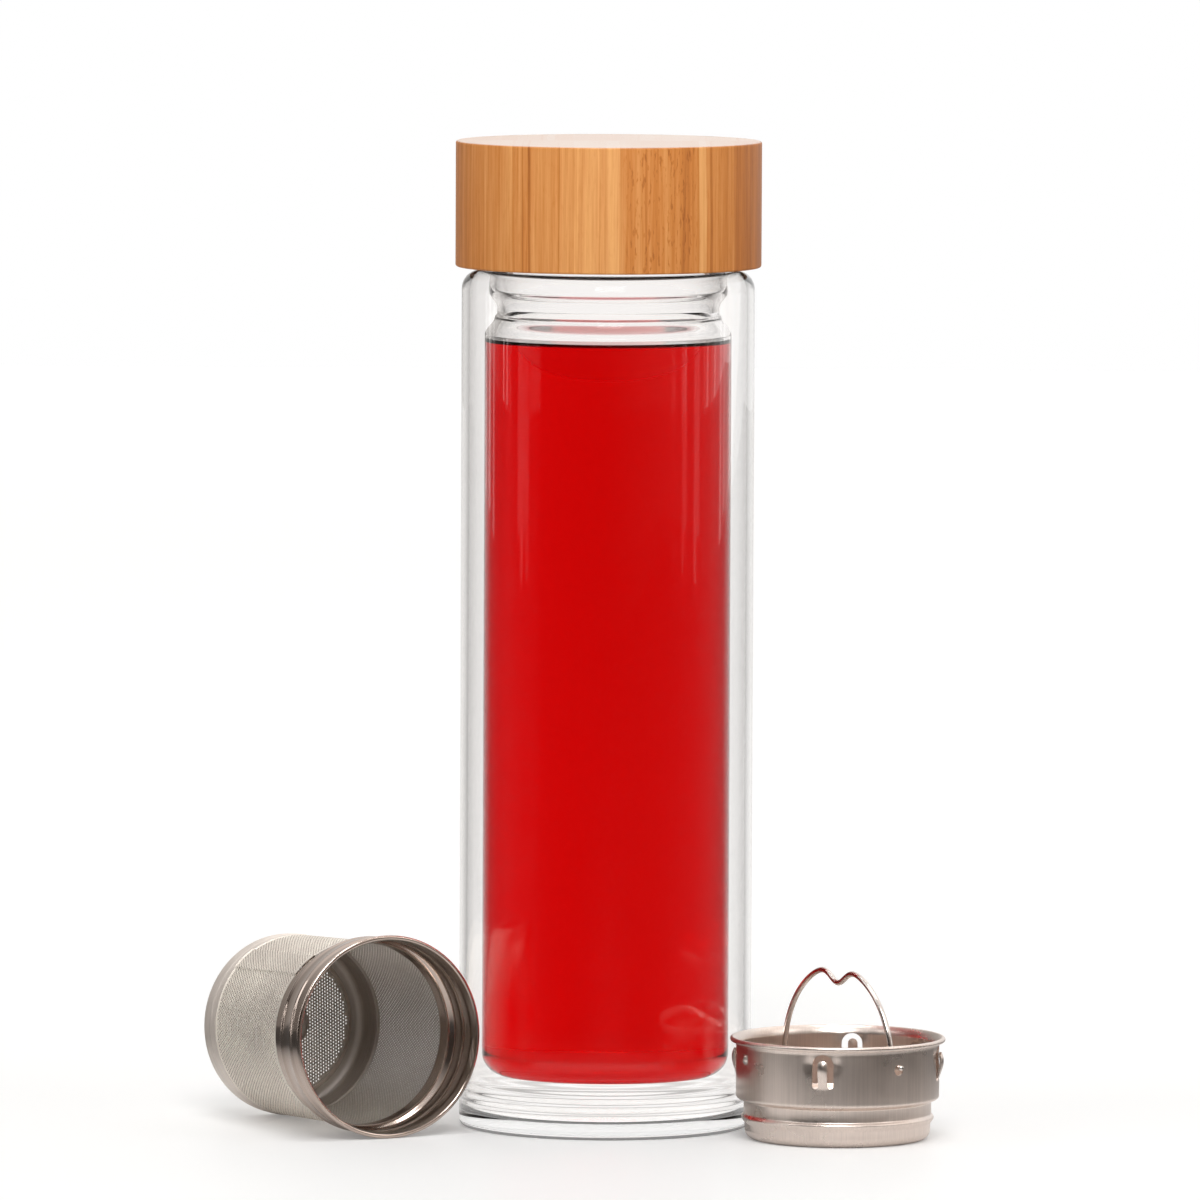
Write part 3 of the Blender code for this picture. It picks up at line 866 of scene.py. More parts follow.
@dataclass(frozen=True)
class Bamboo:
    """Laminated bamboo, turned and oiled: strips side by side, long fibres, pale end grain.

    Each of strip_shares is where a strip starts across the lid's width, and how dark it is. Behind, the
    same strips run the other way, by back_scale and back_shift.
    """

    name: str
    width: float
    pale: Colour = paint(232, 168, 102)
    amber: Colour = paint(203, 126, 58)
    brown: Colour = paint(150, 78, 28)
    end_grain: Colour = paint(231, 216, 206)
    strip_shares: tuple = (
        (0.0, 0.62), (0.045, 0.50), (0.085, 0.44), (0.145, 0.30), (0.186, 0.70), (0.192, 0.36),
        (0.215, 0.76), (0.221, 0.46), (0.236, 0.95), (0.243, 0.38), (0.333, 0.70), (0.338, 0.28),
        (0.385, 0.08), (0.430, 0.16), (0.465, 0.42), (0.471, 0.26), (0.490, 0.04), (0.535, 0.46),
        (0.540, 0.26), (0.551, 0.44), (0.600, 0.56), (0.680, 0.50), (0.735, 0.66), (0.790, 0.12),
        (0.815, 0.48), (0.825, 0.92), (0.834, 0.56), (0.857, 0.62), (0.905, 0.90), (0.944, 1.0),
        (0.953, 0.82),
    )
    back_scale: float = -0.92
    back_shift: float = 0.13
    sway: float = 0.0011
    sways: Scale = (40.0, 40.0, 22.0)
    coarse: Scale = (420.0, 420.0, 9.0)
    fibres: Scale = (1500.0, 1500.0, 26.0)
    fine: Scale = (4200.0, 4200.0, 120.0)
    layer_shares: tuple = (0.85, 0.75, 0.28)
    flecks: Scale = (1500.0, 1500.0, 330.0)
    fleck_zone: Point = (0.565, 0.78)
    fleck_edge: float = 0.02
    pore_scale: float = 1500.0
    pore_run: Scale = (1.0, 1.0, 0.02)
    relief: float = 0.00004

    def make(self) -> bpy.types.Material:
        """Build the material.

        Returns:
            The material.
        """
        graph = Graph.of_material(self.name)
        x, y = graph.part("X"), graph.part("Y")
        behind = graph.maths("GREATER_THAN", y, 0.0)
        flipped = graph.maths("MULTIPLY_ADD", x, self.back_scale, self.width * self.back_shift)
        across = graph.node("ShaderNodeMix", data_type="FLOAT")
        for value, key in ((behind, 0), (x, 2), (flipped, 3)):
            graph.feed(value, across.inputs[key])
        sway = graph.maths("SUBTRACT", graph.noise(self.sways, 1.0), 0.5)
        swayed = graph.maths("MULTIPLY_ADD", sway, self.sway, across.outputs[0])
        share = graph.maths("MULTIPLY_ADD", swayed, 1 / self.width, 0.5)
        strip = graph.ramp(share, [(s, (t, t, t)) for s, t in self.strip_shares], stepped=True)
        coarse = graph.noise(self.coarse, 2.0)
        fibres = graph.noise(self.fibres, 4.0, 0.7)
        fine = graph.noise(self.fine, 2.0)
        tone = graph.maths("MULTIPLY_ADD", strip, 0.72, -0.02)
        for layer, weight in zip((coarse, fibres, fine), self.layer_shares):
            tone = graph.maths("MULTIPLY_ADD", graph.maths("SUBTRACT", layer, 0.5), weight, tone)
        flecks = graph.spread(graph.noise(self.flecks, 3.0), 0.56, 0.68)
        (low, high), edge = self.fleck_zone, self.fleck_edge
        mottled = graph.maths("MULTIPLY", graph.spread(share, low - edge, low + edge),
                              graph.spread(share, high - edge, high + edge, 1.0, 0.0))
        flecked = graph.maths("MULTIPLY", flecks, graph.spread(mottled, 0.0, 1.0, 0.06, 0.4))
        tone = graph.maths("ADD", tone, flecked)
        side = graph.ramp(graph.spread(tone, -0.1, 1.05), [
            (0.0, self.pale), (0.45, self.amber), (1.0, self.brown)])
        pores = graph.node("ShaderNodeTexVoronoi", feature="F1")
        graph.feed(self.pore_scale, pores.inputs["Scale"])
        graph.feed(graph.stretched(self.pore_run), pores.inputs["Vector"])
        dots = graph.spread(pores.outputs["Distance"], 0.12, 0.3, 0.35, 0.0)
        grain = graph.mix(graph.maths("MULTIPLY_ADD", strip, 0.16, dots), self.end_grain, self.amber)
        normal = graph.node("ShaderNodeTexCoord").outputs["Normal"]
        upward = graph.spread(graph.part("Z", normal), 0.55, 0.95)
        colour = graph.mix(upward, side, grain)
        graph.set(Base_Color=colour, Roughness=graph.spread(fibres, 0.3, 0.7, 0.42, 0.58),
                  Specular_IOR_Level=0.3)
        graph.bump(graph.maths("ADD", fibres, fine), self.relief, 0.5)
        return graph.material


@dataclass(frozen=True)
class Steel:
    """Drawn stainless steel with fine marks that run one way.

    Where inside is under 1, it is how much of the colour is left on the inside of a round piece: painted
    shade.
    """

    name: str
    colour: Colour
    roughness: float
    streaks: Streaks
    anisotropy: float = 0.0
    mark_depth: float = 0.000004
    mark_share: float = 0.6
    cloud_scale: float = 70.0
    contrast: float = 0.14
    inside: float = 1.0

    def make(self) -> bpy.types.Material:
        """Build the material.

        Returns:
            The material.
        """
        graph = Graph.of_material(self.name)
        marks = graph.noise(self.streaks.value, 3.0, 0.6)
        clouds = graph.noise(self.cloud_scale, 3.0)
        dark = tuple(c * (1 - self.contrast) for c in self.colour)
        light = tuple(min(1.0, c * (1 + self.contrast / 2)) for c in self.colour)
        tone = graph.maths("MULTIPLY_ADD", marks, self.mark_share,
                           graph.maths("MULTIPLY", clouds, 1 - self.mark_share))
        colour = graph.ramp(tone, [(0.3, dark), (0.7, light)])
        # Painted shade: the colour on the inner side is darkened by the inside share.
        if self.inside < 1.0:
            painted_shade = graph.mix(1.0, colour, (self.inside, self.inside, self.inside), "MULTIPLY")
            colour = graph.mix(self.shaded_inner_side(graph), colour, painted_shade)
        rough = graph.spread(clouds, 0.3, 0.7, self.roughness * 0.82, self.roughness * 1.2)
        graph.set(Base_Color=colour, Metallic=1.0, Roughness=rough, Anisotropic=self.anisotropy)
        graph.bump(marks, self.mark_depth, 0.5)
        return graph.material

    def shaded_inner_side(self, graph: Graph) -> Socket:
        """Return 1 on the inside of a round piece and on the upper side of its floor, else 0: where the
        painted shade goes.

        Args:
            graph: The material's nodes.

        Returns:
            The value.
        """
        normal = graph.node("ShaderNodeTexCoord").outputs["Normal"]
        outward = graph.node("ShaderNodeVectorMath", operation="DOT_PRODUCT")
        graph.feed(normal, outward.inputs[0])
        graph.feed(graph.stretched((1.0, 1.0, 0.0)), outward.inputs[1])
        lean = graph.maths("MULTIPLY_ADD", graph.part("Z", normal), -0.01, outward.outputs["Value"])
        return graph.maths("LESS_THAN", lean, -0.001)


@dataclass(frozen=True)
class Moulded:
    """Moulded plastic or silicone with a faint matt grain."""

    name: str
    colour: Colour
    roughness: float
    clear_share: float
    cloud_scale: float = 60.0
    grain_scale: float = 1400.0
    grain: float = 0.00002

    def make(self) -> bpy.types.Material:
        """Build the material.

        Returns:
            The material.
        """
        graph = Graph.of_material(self.name)
        clouds = graph.noise(self.cloud_scale, 2.0)
        darker = tuple(c * 0.93 for c in self.colour)
        graph.set(Base_Color=graph.mix(clouds, darker, self.colour),
                  Roughness=graph.spread(clouds, 0.3, 0.7, self.roughness * 0.9, self.roughness * 1.1),
                  Transmission_Weight=self.clear_share, IOR=1.45)
        graph.bump(graph.noise(self.grain_scale, 2.0), self.grain, 0.3)
        return graph.material


def settle(piece: bpy.types.Object, body: str, slot: str, finish: bpy.types.Material,
           nodes: Sequence[str] = ()) -> None:
    """Dress a piece and tie it to the model.

    Args:
        piece: The new piece, already in its place.
        body: Body that it moves with.
        slot: Name of a material slot of the record; not used.
        finish: Its material.
        nodes: Nodes of the model that it stands for.
    """
    piece.data.materials.clear()
    piece.data.materials.append(finish)
    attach(piece, body)
    if nodes:
        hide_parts(*nodes)
    LOG.info("%s: %d faces on body %s", piece.name, len(piece.data.polygons), body)


@dataclass
class Thread:
    """Raised screw thread, which starts and ends in a short run-out, a share of a turn long."""

    bottom: float
    top: float
    height: float
    width: float
    pitch: float = 0.005
    run_out: float = 0.12
    fullness: float = 0.8

    def lift(self, angle: float, level: float) -> float:
        """Height of the thread over its wall.

        Args:
            angle: Angle about the axis in radians.
            level: Height along the axis.

        Returns:
            How far the thread stands out there.
        """
        turns = (self.top - self.bottom) / self.pitch
        best = 0.0
        for turn in range(-1, int(turns) + 2):
            along = turn + angle / math.tau
            if not 0.0 <= along <= turns:
                continue
            off = abs(level - (self.bottom + along * self.pitch)) / self.width
            if off >= 1.0:
                continue
            fade = min(1.0, along / self.run_out, (turns - along) / self.run_out)
            best = max(best, fade * math.cos(off * math.pi / 2) ** self.fullness)
        return best * self.height


# Bottle


@dataclass
class Bottle:
    """Two glasses fused at the shoulder, and the tea that they hold.

    The vessel's wall is plain but for plain_ends, the lengths left for its bottom and its shoulder.
    """

    radius: float
    shoulder: float
    vessel_r: float
    vessel_bottom: float
    neck_top: float
    wall: float = 0.0019
    crown_wall: float = 0.0009
    base: float = 0.0038
    base_corner: float = 0.0015
    floor_corner: float = 0.0018
    ripple: float = 0.00016
    ripple_run: float = 0.0085
    ripple_count: int = 4
    ripple_steps: int = 12
    shoulder_corner: float = 0.0045
    vessel_wall: float = 0.0018
    vessel_corner: float = 0.0057
    plain_ends: Point = (0.06, 0.02)
    vessel_shoulder_drop: float = 0.0157
    waist_depth: float = 0.0030
    waist_drop: float = 0.0093
    waist_run: float = 0.0012
    fold_lift: float = 0.0006
    fold_drop: float = 0.0009
    bulge_depth: float = 0.0008
    bulge_drop: float = 0.0048
    neck_flare: float = 0.0005
    neck_wall: float = 0.0022
    neck_rim: float = 0.0008
    thread_start: float = 0.0045
    thread_end: float = 0.0035
    fuse: float = 0.0004
    tea_level: float = 0.1908
    tea_bond: float = 0.00015
    meniscus: float = 0.0012
    meniscus_reach: float = 0.0010
    sides: int = 192

    @classmethod
    def from_frame(cls) -> "Bottle":
        """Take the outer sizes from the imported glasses.

        Returns:
            The bottle.
        """
        low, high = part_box("outer_glass")
        in_low, in_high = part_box("inner_glass")
        return cls(radius=high.x, shoulder=high.z, vessel_r=in_high.x - cls.neck_flare,
                   vessel_bottom=in_low.z, neck_top=in_high.z)

    def outer_section(self) -> list[Point]:
        """Section of the outer glass, from the middle of its base round to its floor.

        Returns:
            Its points.
        """
        top = self.shoulder - self.shoulder_corner
        edge = self.radius - self.shoulder_corner
        inner_r = self.radius - self.wall
        seam = self.vessel_r + self.neck_flare - self.fuse
        section = [(0.0, 0.0), (self.radius * 0.5, 0.0)]
        section += arc((self.radius - self.base_corner, self.base_corner), self.base_corner, -90, 0)
        section += arc((edge, top), self.shoulder_corner, 0, 90)
        section += [(seam, self.shoulder), (seam, self.shoulder - self.crown_wall)]
        section += [(edge + (self.shoulder_corner - self.wall) * math.cos(a),
                     top + (self.shoulder_corner - self.crown_wall) * math.sin(a))
                    for a in (math.pi / 2 * (1 - k / 10) for k in range(11))]
        floor = (inner_r - self.floor_corner, self.base + self.floor_corner)
        section += self.ripples(inner_r, floor[1])
        section += arc(floor, self.floor_corner, 0, -90)
        section += [(self.radius * 0.5, self.base), (0.0, self.base)]
        return section

    def ripples(self, radius: float, low: float) -> list[Point]:
        """Faint tool marks around the inside of the wall, just over its floor.

        Args:
            radius: Radius of the plain inside.
            low: Height where the marks end.

        Returns:
            Points running down to the height low.
        """
        steps = self.ripple_steps * self.ripple_count
        points = []
        for step in range(steps + 1):
            share = 1 - step / steps
            depth = self.ripple * (1 - share) * math.sin(math.pi * self.ripple_count * share) ** 2
            points.append((radius - depth, low + self.ripple_run * share))
        return points

    def vessel_outside(self) -> list[Point]:
        """Outer side of the inner vessel, from the middle of its bottom up to the neck.

        Returns:
            Its points.
        """
        shoulder = (self.vessel_r, self.shoulder - self.vessel_shoulder_drop)
        waist_top = (self.vessel_r - self.waist_depth, self.shoulder - self.waist_drop)
        waist = (waist_top[0], waist_top[1] - self.waist_run)
        fold = (waist[0] + self.fold_lift, waist[1] - self.fold_drop)
        bulge = (self.vessel_r - self.bulge_depth, self.shoulder - self.bulge_drop)
        neck = (self.vessel_r + self.neck_flare, self.shoulder)
        corner = (self.vessel_r - self.vessel_corner, self.vessel_bottom + self.vessel_corner)
        low, high = self.plain_ends
        side = [(0.0, self.vessel_bottom), (self.vessel_r * 0.5, self.vessel_bottom)]
        side += arc(corner, self.vessel_corner, -90, 0, 14)
        side += [(self.vessel_r, self.vessel_bottom + low), (self.vessel_r, shoulder[1] - high)]
        side += [shoulder] + ease(shoulder, fold) + ease(fold, waist, 8)
        side += [waist_top] + ease(waist_top, bulge) + ease(bulge, neck, 8)
        return side

    def vessel_inside(self) -> list[Point]:
        """Inner side of the vessel, in the order of its outer side.

        Returns:
            Its points.
        """
        inside = inward(self.vessel_outside(), self.vessel_wall)
        inside[0] = (0.0, inside[0][1])
        bore = self.vessel_r + self.neck_flare - self.neck_wall
        return [(min(r, bore), z) for r, z in inside]

    def thread(self) -> Thread:
        """Thread on the outside of the neck."""
        return Thread(bottom=self.shoulder + self.thread_start, top=self.neck_top - self.thread_end,
                      height=0.0011, width=0.0012)

    def build(self) -> None:
        """Make and dress the two glasses and the tea."""
        neck_r = self.vessel_r + self.neck_flare
        bore = neck_r - self.neck_wall
        rim_z = self.neck_top - self.neck_rim
        thread = self.thread()
        neck = straight((neck_r, self.shoulder + 0.001), (neck_r, rim_z), 60)
        neck += arc((neck_r - self.neck_rim, rim_z), self.neck_rim, 0, 90, 6)[1:]
        neck += arc((bore + self.neck_rim, rim_z), self.neck_rim, 90, 180, 6)
        neck += [(bore, self.shoulder)]

        def swell(angle: float, radius: float, height: float) -> float:
            """Thread's height, only on the outside of the neck."""
            return thread.lift(angle, height) if radius > neck_r - NEAR else 0.0

        section = self.vessel_outside() + neck + self.vessel_inside()[::-1]
        vessel = turned("vessel_glass", section, self.sides, swell)
        shell = turned("shell_glass", self.outer_section(), self.sides)
        clear = ClearGlass("shell_glass", (0.18, 0.18, 0.18)).make()
        settle(shell, "bottle", "outer_glass", clear, ["outer_glass"])
        wetted = ClearGlass("vessel_glass", (0.16, 0.16, 0.16)).make()
        settle(vessel, "bottle", "inner_glass", wetted, ["inner_glass"])
        self.pour_tea()

    def pour_tea(self) -> None:
        """Fill the vessel with tea up to its level, with a rim of tea drawn up the glass."""
        wall = [(r + self.tea_bond, z) for r, z in self.vessel_inside() if z < self.tea_level]
        wall[0] = (0.0, wall[0][1] - self.tea_bond)
        wall[1] = (wall[1][0], wall[1][1] - self.tea_bond)
        edge = wall[-1][0]
        surface = []
        steps, reaches, crowding = 12, 4, 1.5
        for step in range(steps + 1):
            away = reaches * (step / steps) ** crowding
            surface.append((edge - self.meniscus_reach * away,
                            self.tea_level + self.meniscus * math.exp(-away)))
        tea = turned("tea", wall + surface + [(0.0, self.tea_level)], self.sides)
        settle(tea, "bottle", "inner_glass", Infusion("tea").make())


# Lid


@dataclass
class Lid:
    """Turned bamboo lid with its threaded liner and its seal."""

    radius: float
    bottom: float
    top: float
    bore_top: float
    liner_r: float
    liner_bottom: float
    liner_top: float
    seal_low: Vector
    seal_high: Vector
    edge: float = 0.0006
    play: float = 0.0003
    liner_wall: float = 0.0016
    liner_disc: float = 0.0012
    liner_edge: float = 0.0003
    thread_start: float = 0.0030
    thread_end: float = 0.0045
    seal_width: float = 0.0031
    sides: int = 192

    @classmethod
    def from_frame(cls) -> "Lid":
        """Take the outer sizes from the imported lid.

        Returns:
            The lid.
        """
        low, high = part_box("bamboo_cap")
        liner_low, liner_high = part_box("cap_liner")
        seal_low, seal_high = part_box("cap_seal")
        return cls(radius=high.x, bottom=low.z, top=high.z, bore_top=liner_high.z + cls.play,
                   liner_r=liner_high.x, liner_bottom=liner_low.z, liner_top=liner_high.z,
                   seal_low=seal_low, seal_high=seal_high)

    def build(self) -> None:
        """Make and dress the lid's three pieces."""
        bore = self.liner_r + self.play
        edge = self.edge
        section = [(0.0, self.bore_top), (bore, self.bore_top), (bore, self.bottom + edge / 2),
                   (bore + edge / 2, self.bottom)]
        section += arc((self.radius - edge, self.bottom + edge), edge, -90, 0, 6)
        section += arc((self.radius - edge, self.top - edge), edge, 0, 90, 6)
        section += [(self.radius * 0.6, self.top), (0.0, self.top)]
        cap = turned("turned_lid", section, self.sides)
        settle(cap, "lid", "bamboo", Bamboo("bamboo", 2 * self.radius).make(), ["bamboo_cap"])

        inner = self.liner_r - self.liner_wall
        disc = self.liner_top - self.liner_disc
        thread = Thread(self.liner_bottom + self.thread_start, disc - self.thread_end,
                        height=0.0010, width=0.0011)

        def swell(angle: float, radius: float, height: float) -> float:
            """Thread of the liner, which stands in from its bore."""
            return -thread.lift(angle, height) if radius < inner + NEAR and height < disc else 0.0

        low, lip = self.liner_bottom, self.liner_edge
        section = [(0.0, disc)] + straight((inner, disc), (inner, low + lip), 60)
        section += [(inner + lip, low), (self.liner_r - lip, low), (self.liner_r, low + lip)]
        section += [(self.liner_r, self.liner_top), (0.0, self.liner_top)]
        liner = turned("threaded_liner", section, self.sides, swell)
        plastic = Moulded("liner_plastic", paint(232, 229, 222), 0.32, 0.25)
        settle(liner, "lid", "liner", plastic.make(), ["cap_liner"])

        round_r = (self.seal_high.z - self.seal_low.z) / 2
        outer = self.seal_high.x - round_r
        inner = self.seal_high.x - self.seal_width + round_r
        middle = self.seal_low.z + round_r
        section = arc((outer, middle), round_r, -90, 90, 10) + arc((inner, middle), round_r, 90, 270, 10)
        seal = turned("silicone_ring", section, self.sides)
        silicone = Moulded("silicone", paint(236, 234, 230), 0.5, 0.35)
        settle(seal, "lid_ring", "seal", silicone.make(), ["cap_seal"])


# Strainer cup


@dataclass
class StrainerCup:
    """Drawn cup with four lanced tongues, a fine screen in its foot and a wire bail."""

    centre: Vector
    height: float
    rim_r: float
    pivot: Vector
    pivot_axis: Vector
    sheet: float = 0.0005
    roll: float = 0.00062
    band_r: float = 0.0246
    plug_r: float = 0.0227
    foot_r: float = 0.02245
    foot_corner: float = 0.0024
    flange: float = 0.0030
    ledge: float = 0.0094
    ledge_rise: float = 0.0012
    ledge_fold: float = 0.0004
    ledge_turn: float = 0.0008
    row: float = 0.0004
    bead: float = 0.0006
    bead_height: float = 0.0054
    bead_fall: float = 0.0018
    bead_rise: float = 0.0010
    tongue_bearing: float = -9.4
    tongue_count: int = 4
    slot_base: float = 0.0146
    slot_height: float = 0.0083
    slot_width: float = 0.0052
    tongue_width: float = 0.0022
    tongue_bow: float = 0.0013
    tip_gap: float = 0.0014
    cut_reach: float = 0.003
    cut_play: float = 0.0002
    dent: float = 0.00035
    dent_size: Point = (0.0011, 0.0016)
    dent_aside: float = 0.62
    dent_drop: float = 0.0010
    nub_bearing: float = -66.0
    nub_height: float = 0.0203
    nub_size: float = 0.0020
    nub_lift: float = 0.0007
    wire_r: float = 0.0007
    wire_play: float = 0.0006
    hole_drop: float = 0.0006
    screen_margin: float = 0.0022
    screen_pitch: float = 0.00125
    screen_hole_r: float = 0.00036
    bail_r: float = 0.0214
    bail_height: float = 0.0223
    bail_dip: float = 0.0039
    dip_reach: float = 0.0040
    bail_end: float = 0.0014
    bail_bend: float = 0.0016
    sides: int = 360

    @classmethod
    def from_frame(cls) -> "StrainerCup":
        """Take the place, the height and the bail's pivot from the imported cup.

        Returns:
            The cup.
        """
        low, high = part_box("strainer_cup")
        joint = next(j for j in frame["joints"] if j["child"] == "bail")
        screen_low, screen_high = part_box("strainer_screen")
        centre = (screen_low + screen_high) / 2
        return cls(centre=Vector((centre.x, centre.y, low.z)), height=high.z - low.z,
                   rim_r=(high.x - low.x) / 2, pivot=Vector(joint["pos_m"]),
                   pivot_axis=Vector(joint["axis"]).normalized())

    def wall_section(self) -> list[Point]:
        """Section of the cup: flange, foot, bead, ledge, upper band and rolled rim.

        Returns:
            Its points.
        """
        foot = (self.foot_r - self.foot_corner, self.foot_corner)
        low, high = self.bead_height - self.bead_fall, self.bead_height + self.bead_rise
        wall = straight((foot[0] - self.flange, 0.0), (foot[0], 0.0), 2)
        wall += arc(foot, self.foot_corner, -90, 0, 12)[1:]
        wall += ease((self.foot_r, low), (self.plug_r + self.bead, self.bead_height), 8)
        wall += ease(wall[-1], (self.plug_r, high), 8)
        fold, turn = self.ledge_fold, self.ledge_turn
        wall += [(self.plug_r, self.ledge - fold)]
        wall += arc((self.plug_r + fold, self.ledge - fold), fold, 180, 120, 4)[1:]
        wall += arc((self.band_r - turn, self.ledge + self.ledge_rise), turn, -60, 0, 6)
        rows = round((self.height - self.ledge - self.ledge_rise - 3 * self.roll) / self.row)
        wall += straight(wall[-1], (self.band_r, self.height - 3 * self.roll), rows)[1:]
        return rolled(wall, self.rim_r, self.height, self.roll, self.sheet)

    def slot_cutter(self, bearing: float) -> bpy.types.Object:
        """Closed block in the shape of the round-topped slot around one tongue.

        Args:
            bearing: Bearing of the tongue.

        Returns:
            The block, standing across the wall.
        """
        half, inner = self.slot_width / 2, self.tongue_width / 2
        leg = (half - inner) / 2
        outline = arc((0.0, self.slot_height - half), half, 0, 180, 16)
        outline += arc((-inner - leg, leg), leg, 180, 360, 8)
        outline += arc((0.0, self.slot_height - self.tip_gap - inner), inner, 180, 0, 10)
        outline += arc((inner + leg, leg), leg, 180, 360, 8)
        out = facing(bearing)
        across = UP.cross(out)
        vertices = []
        for reach in (self.band_r - self.cut_reach, self.band_r + self.cut_reach):
            vertices += [out * reach + across * u + UP * (self.slot_base + v) for u, v in outline]
        count = len(outline)
        faces = skin([range(count), range(count, 2 * count)], capped=True)
        block = object_from(f"slot_{bearing:.0f}", vertices, faces)
        rework(block, face_outward)
        return block

    def hole_cutter(self, direction: Vector, name: str) -> bpy.types.Object:
        """Closed round block across the wall, a little under the bail's pivot.

        Args:
            direction: Which way the block points.
            name: Name of the block.

        Returns:
            The block.
        """
        height = self.pivot.z - self.centre.z - self.hole_drop
        start = direction * (self.band_r - self.cut_reach) + UP * height
        path = [start, start + direction * 2 * self.cut_reach]
        block = tube(name, path, self.wire_r + self.wire_play, 24, 1)
        rework(block, face_outward)
        return block

    def along_wall(self, bearing: float, middle: float) -> float:
        """Distance along the upper band from a middle bearing to another bearing, in metres."""
        return math.radians((bearing - middle + 180) % 360 - 180) * self.band_r

    def press(self, place: Vector) -> float:
        """How far the wall is pushed out or in at a place, by tongues, dents and the nub.

        Args:
            place: A point of the wall in the cup's own space.

        Returns:
            The radial shift, positive outward.
        """
        bearing = math.degrees(math.atan2(place.x, -place.y))
        shift = 0.0
        tip = self.slot_base + self.slot_height - self.tip_gap
        for index in range(self.tongue_count):
            across = self.along_wall(bearing, self.tongue_bearing + index * 360 / self.tongue_count)
            on_tongue = abs(across) < self.tongue_width / 2 + self.cut_play
            if abs(across) > self.slot_width * 1.6:
                continue
            if on_tongue and self.slot_base < place.z < tip + self.cut_play:
                rise = (place.z - self.slot_base) / (tip - self.slot_base)
                crown = math.sin(math.pi * min(1.0, rise ** 1.25) * 0.80)
                hollow = 1 - 0.25 * (across / (self.tongue_width / 2)) ** 2
                shift += self.tongue_bow * crown * hollow
            elif place.z > self.slot_base:
                for side in (-1, 1):
                    du = (across - side * self.slot_width * self.dent_aside) / self.dent_size[0]
                    dz = (place.z - (tip - self.dent_drop)) / self.dent_size[1]
                    shift -= self.dent * math.exp(-du * du - dz * dz)
        du = self.along_wall(bearing, self.nub_bearing)
        reach = max(abs(du), abs(place.z - self.nub_height)) / (self.nub_size / 2)
        if reach < 1.0:
            shift += self.nub_lift * (1 - reach ** 4)
        return shift

    def build(self) -> None:
        """Make and dress the cup, its screen and its bail."""
        wall = turned("drawn_cup", self.wall_section(), self.sides)
        cutters = [self.slot_cutter(self.tongue_bearing + k * 360 / self.tongue_count)
                   for k in range(self.tongue_count)]
        cutters += [self.hole_cutter(self.pivot_axis, "pivot_hole_a"),
                    self.hole_cutter(-self.pivot_axis, "pivot_hole_b")]
        punch(wall, cutters)
        for vertex in wall.data.vertices:
            radius = math.hypot(vertex.co.x, vertex.co.y)
            if radius < self.band_r - 2 * self.sheet or vertex.co.z < self.ledge + self.ledge_rise:
                continue
            scale = 1 + self.press(vertex.co) / radius
            vertex.co.x *= scale
            vertex.co.y *= scale
        wall.data.shade_smooth()
        wall.data.set_sharp_from_angle(angle=SMOOTH_ANGLE)
        place = Matrix.Translation(self.centre)
        wall.matrix_world = place
        # The cup steel's brown is partly its own warm tint and partly painted reflections of tea leaves,
        # which the scene doesn't hold.
        satin = Steel("cup_steel", (0.75, 0.65, 0.59), 0.29, Streaks.ALONG, 0.35)
        settle(wall, "strainer", "steel", satin.make(), ["strainer_cup"])
        self.build_screen(place)
        self.build_bail()

    def build_screen(self, place: Matrix) -> None:
        """Make and dress the perforated disc on the flange of the foot.

        Args:
            place: Where the cup stands.
        """
        low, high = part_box("strainer_screen")
        radius = (high.x - low.x) / 2
        vertices, faces, flat = perforated_disc(
            radius, 96, (0.0, radius - self.screen_margin), self.screen_pitch, self.screen_hole_r,
            low.z, high.z - low.z, lambda r: 0.0, (), True)
        screen = object_from("cup_screen", vertices, faces, flat)
        screen.matrix_world = place
        etched = Steel("screen_steel", (0.62, 0.575, 0.54), 0.34, Streaks.FINE)
        settle(screen, "strainer", "satin_steel", etched.make(), ["strainer_screen"])

    def build_bail(self) -> None:
        """Make and dress the bent wire, whose ends turn out into the two holes."""
        lift = self.bail_bend
        start = math.asin(lift / self.bail_height)
        foot = self.bail_r * math.cos(start)
        half = [(self.band_r + self.bail_end - self.wire_r, 0.0)]
        half += arc((foot + self.bail_bend, lift), self.bail_bend, 270, 180, 8)
        steps = 60
        for index in range(1, steps + 1):
            angle = start + (math.pi / 2 - start) * index / steps
            u = self.bail_r * math.cos(angle)
            dip = self.bail_dip * math.exp(-(u / self.dip_reach) ** 2)
            half.append((u, self.bail_height * math.sin(angle) - dip))
        path = half + [(-u, w) for u, w in half[-2::-1]]
        places = [self.pivot + self.pivot_axis * u + UP * w for u, w in path]
        bail = tube("wire_bail", places, self.wire_r, 20)
        bright = Steel("bail_wire", (0.70, 0.64, 0.60), 0.14, Streaks.FINE)
        settle(bail, "bail", "wire", bright.make(), ["bail"])


# Tea basket


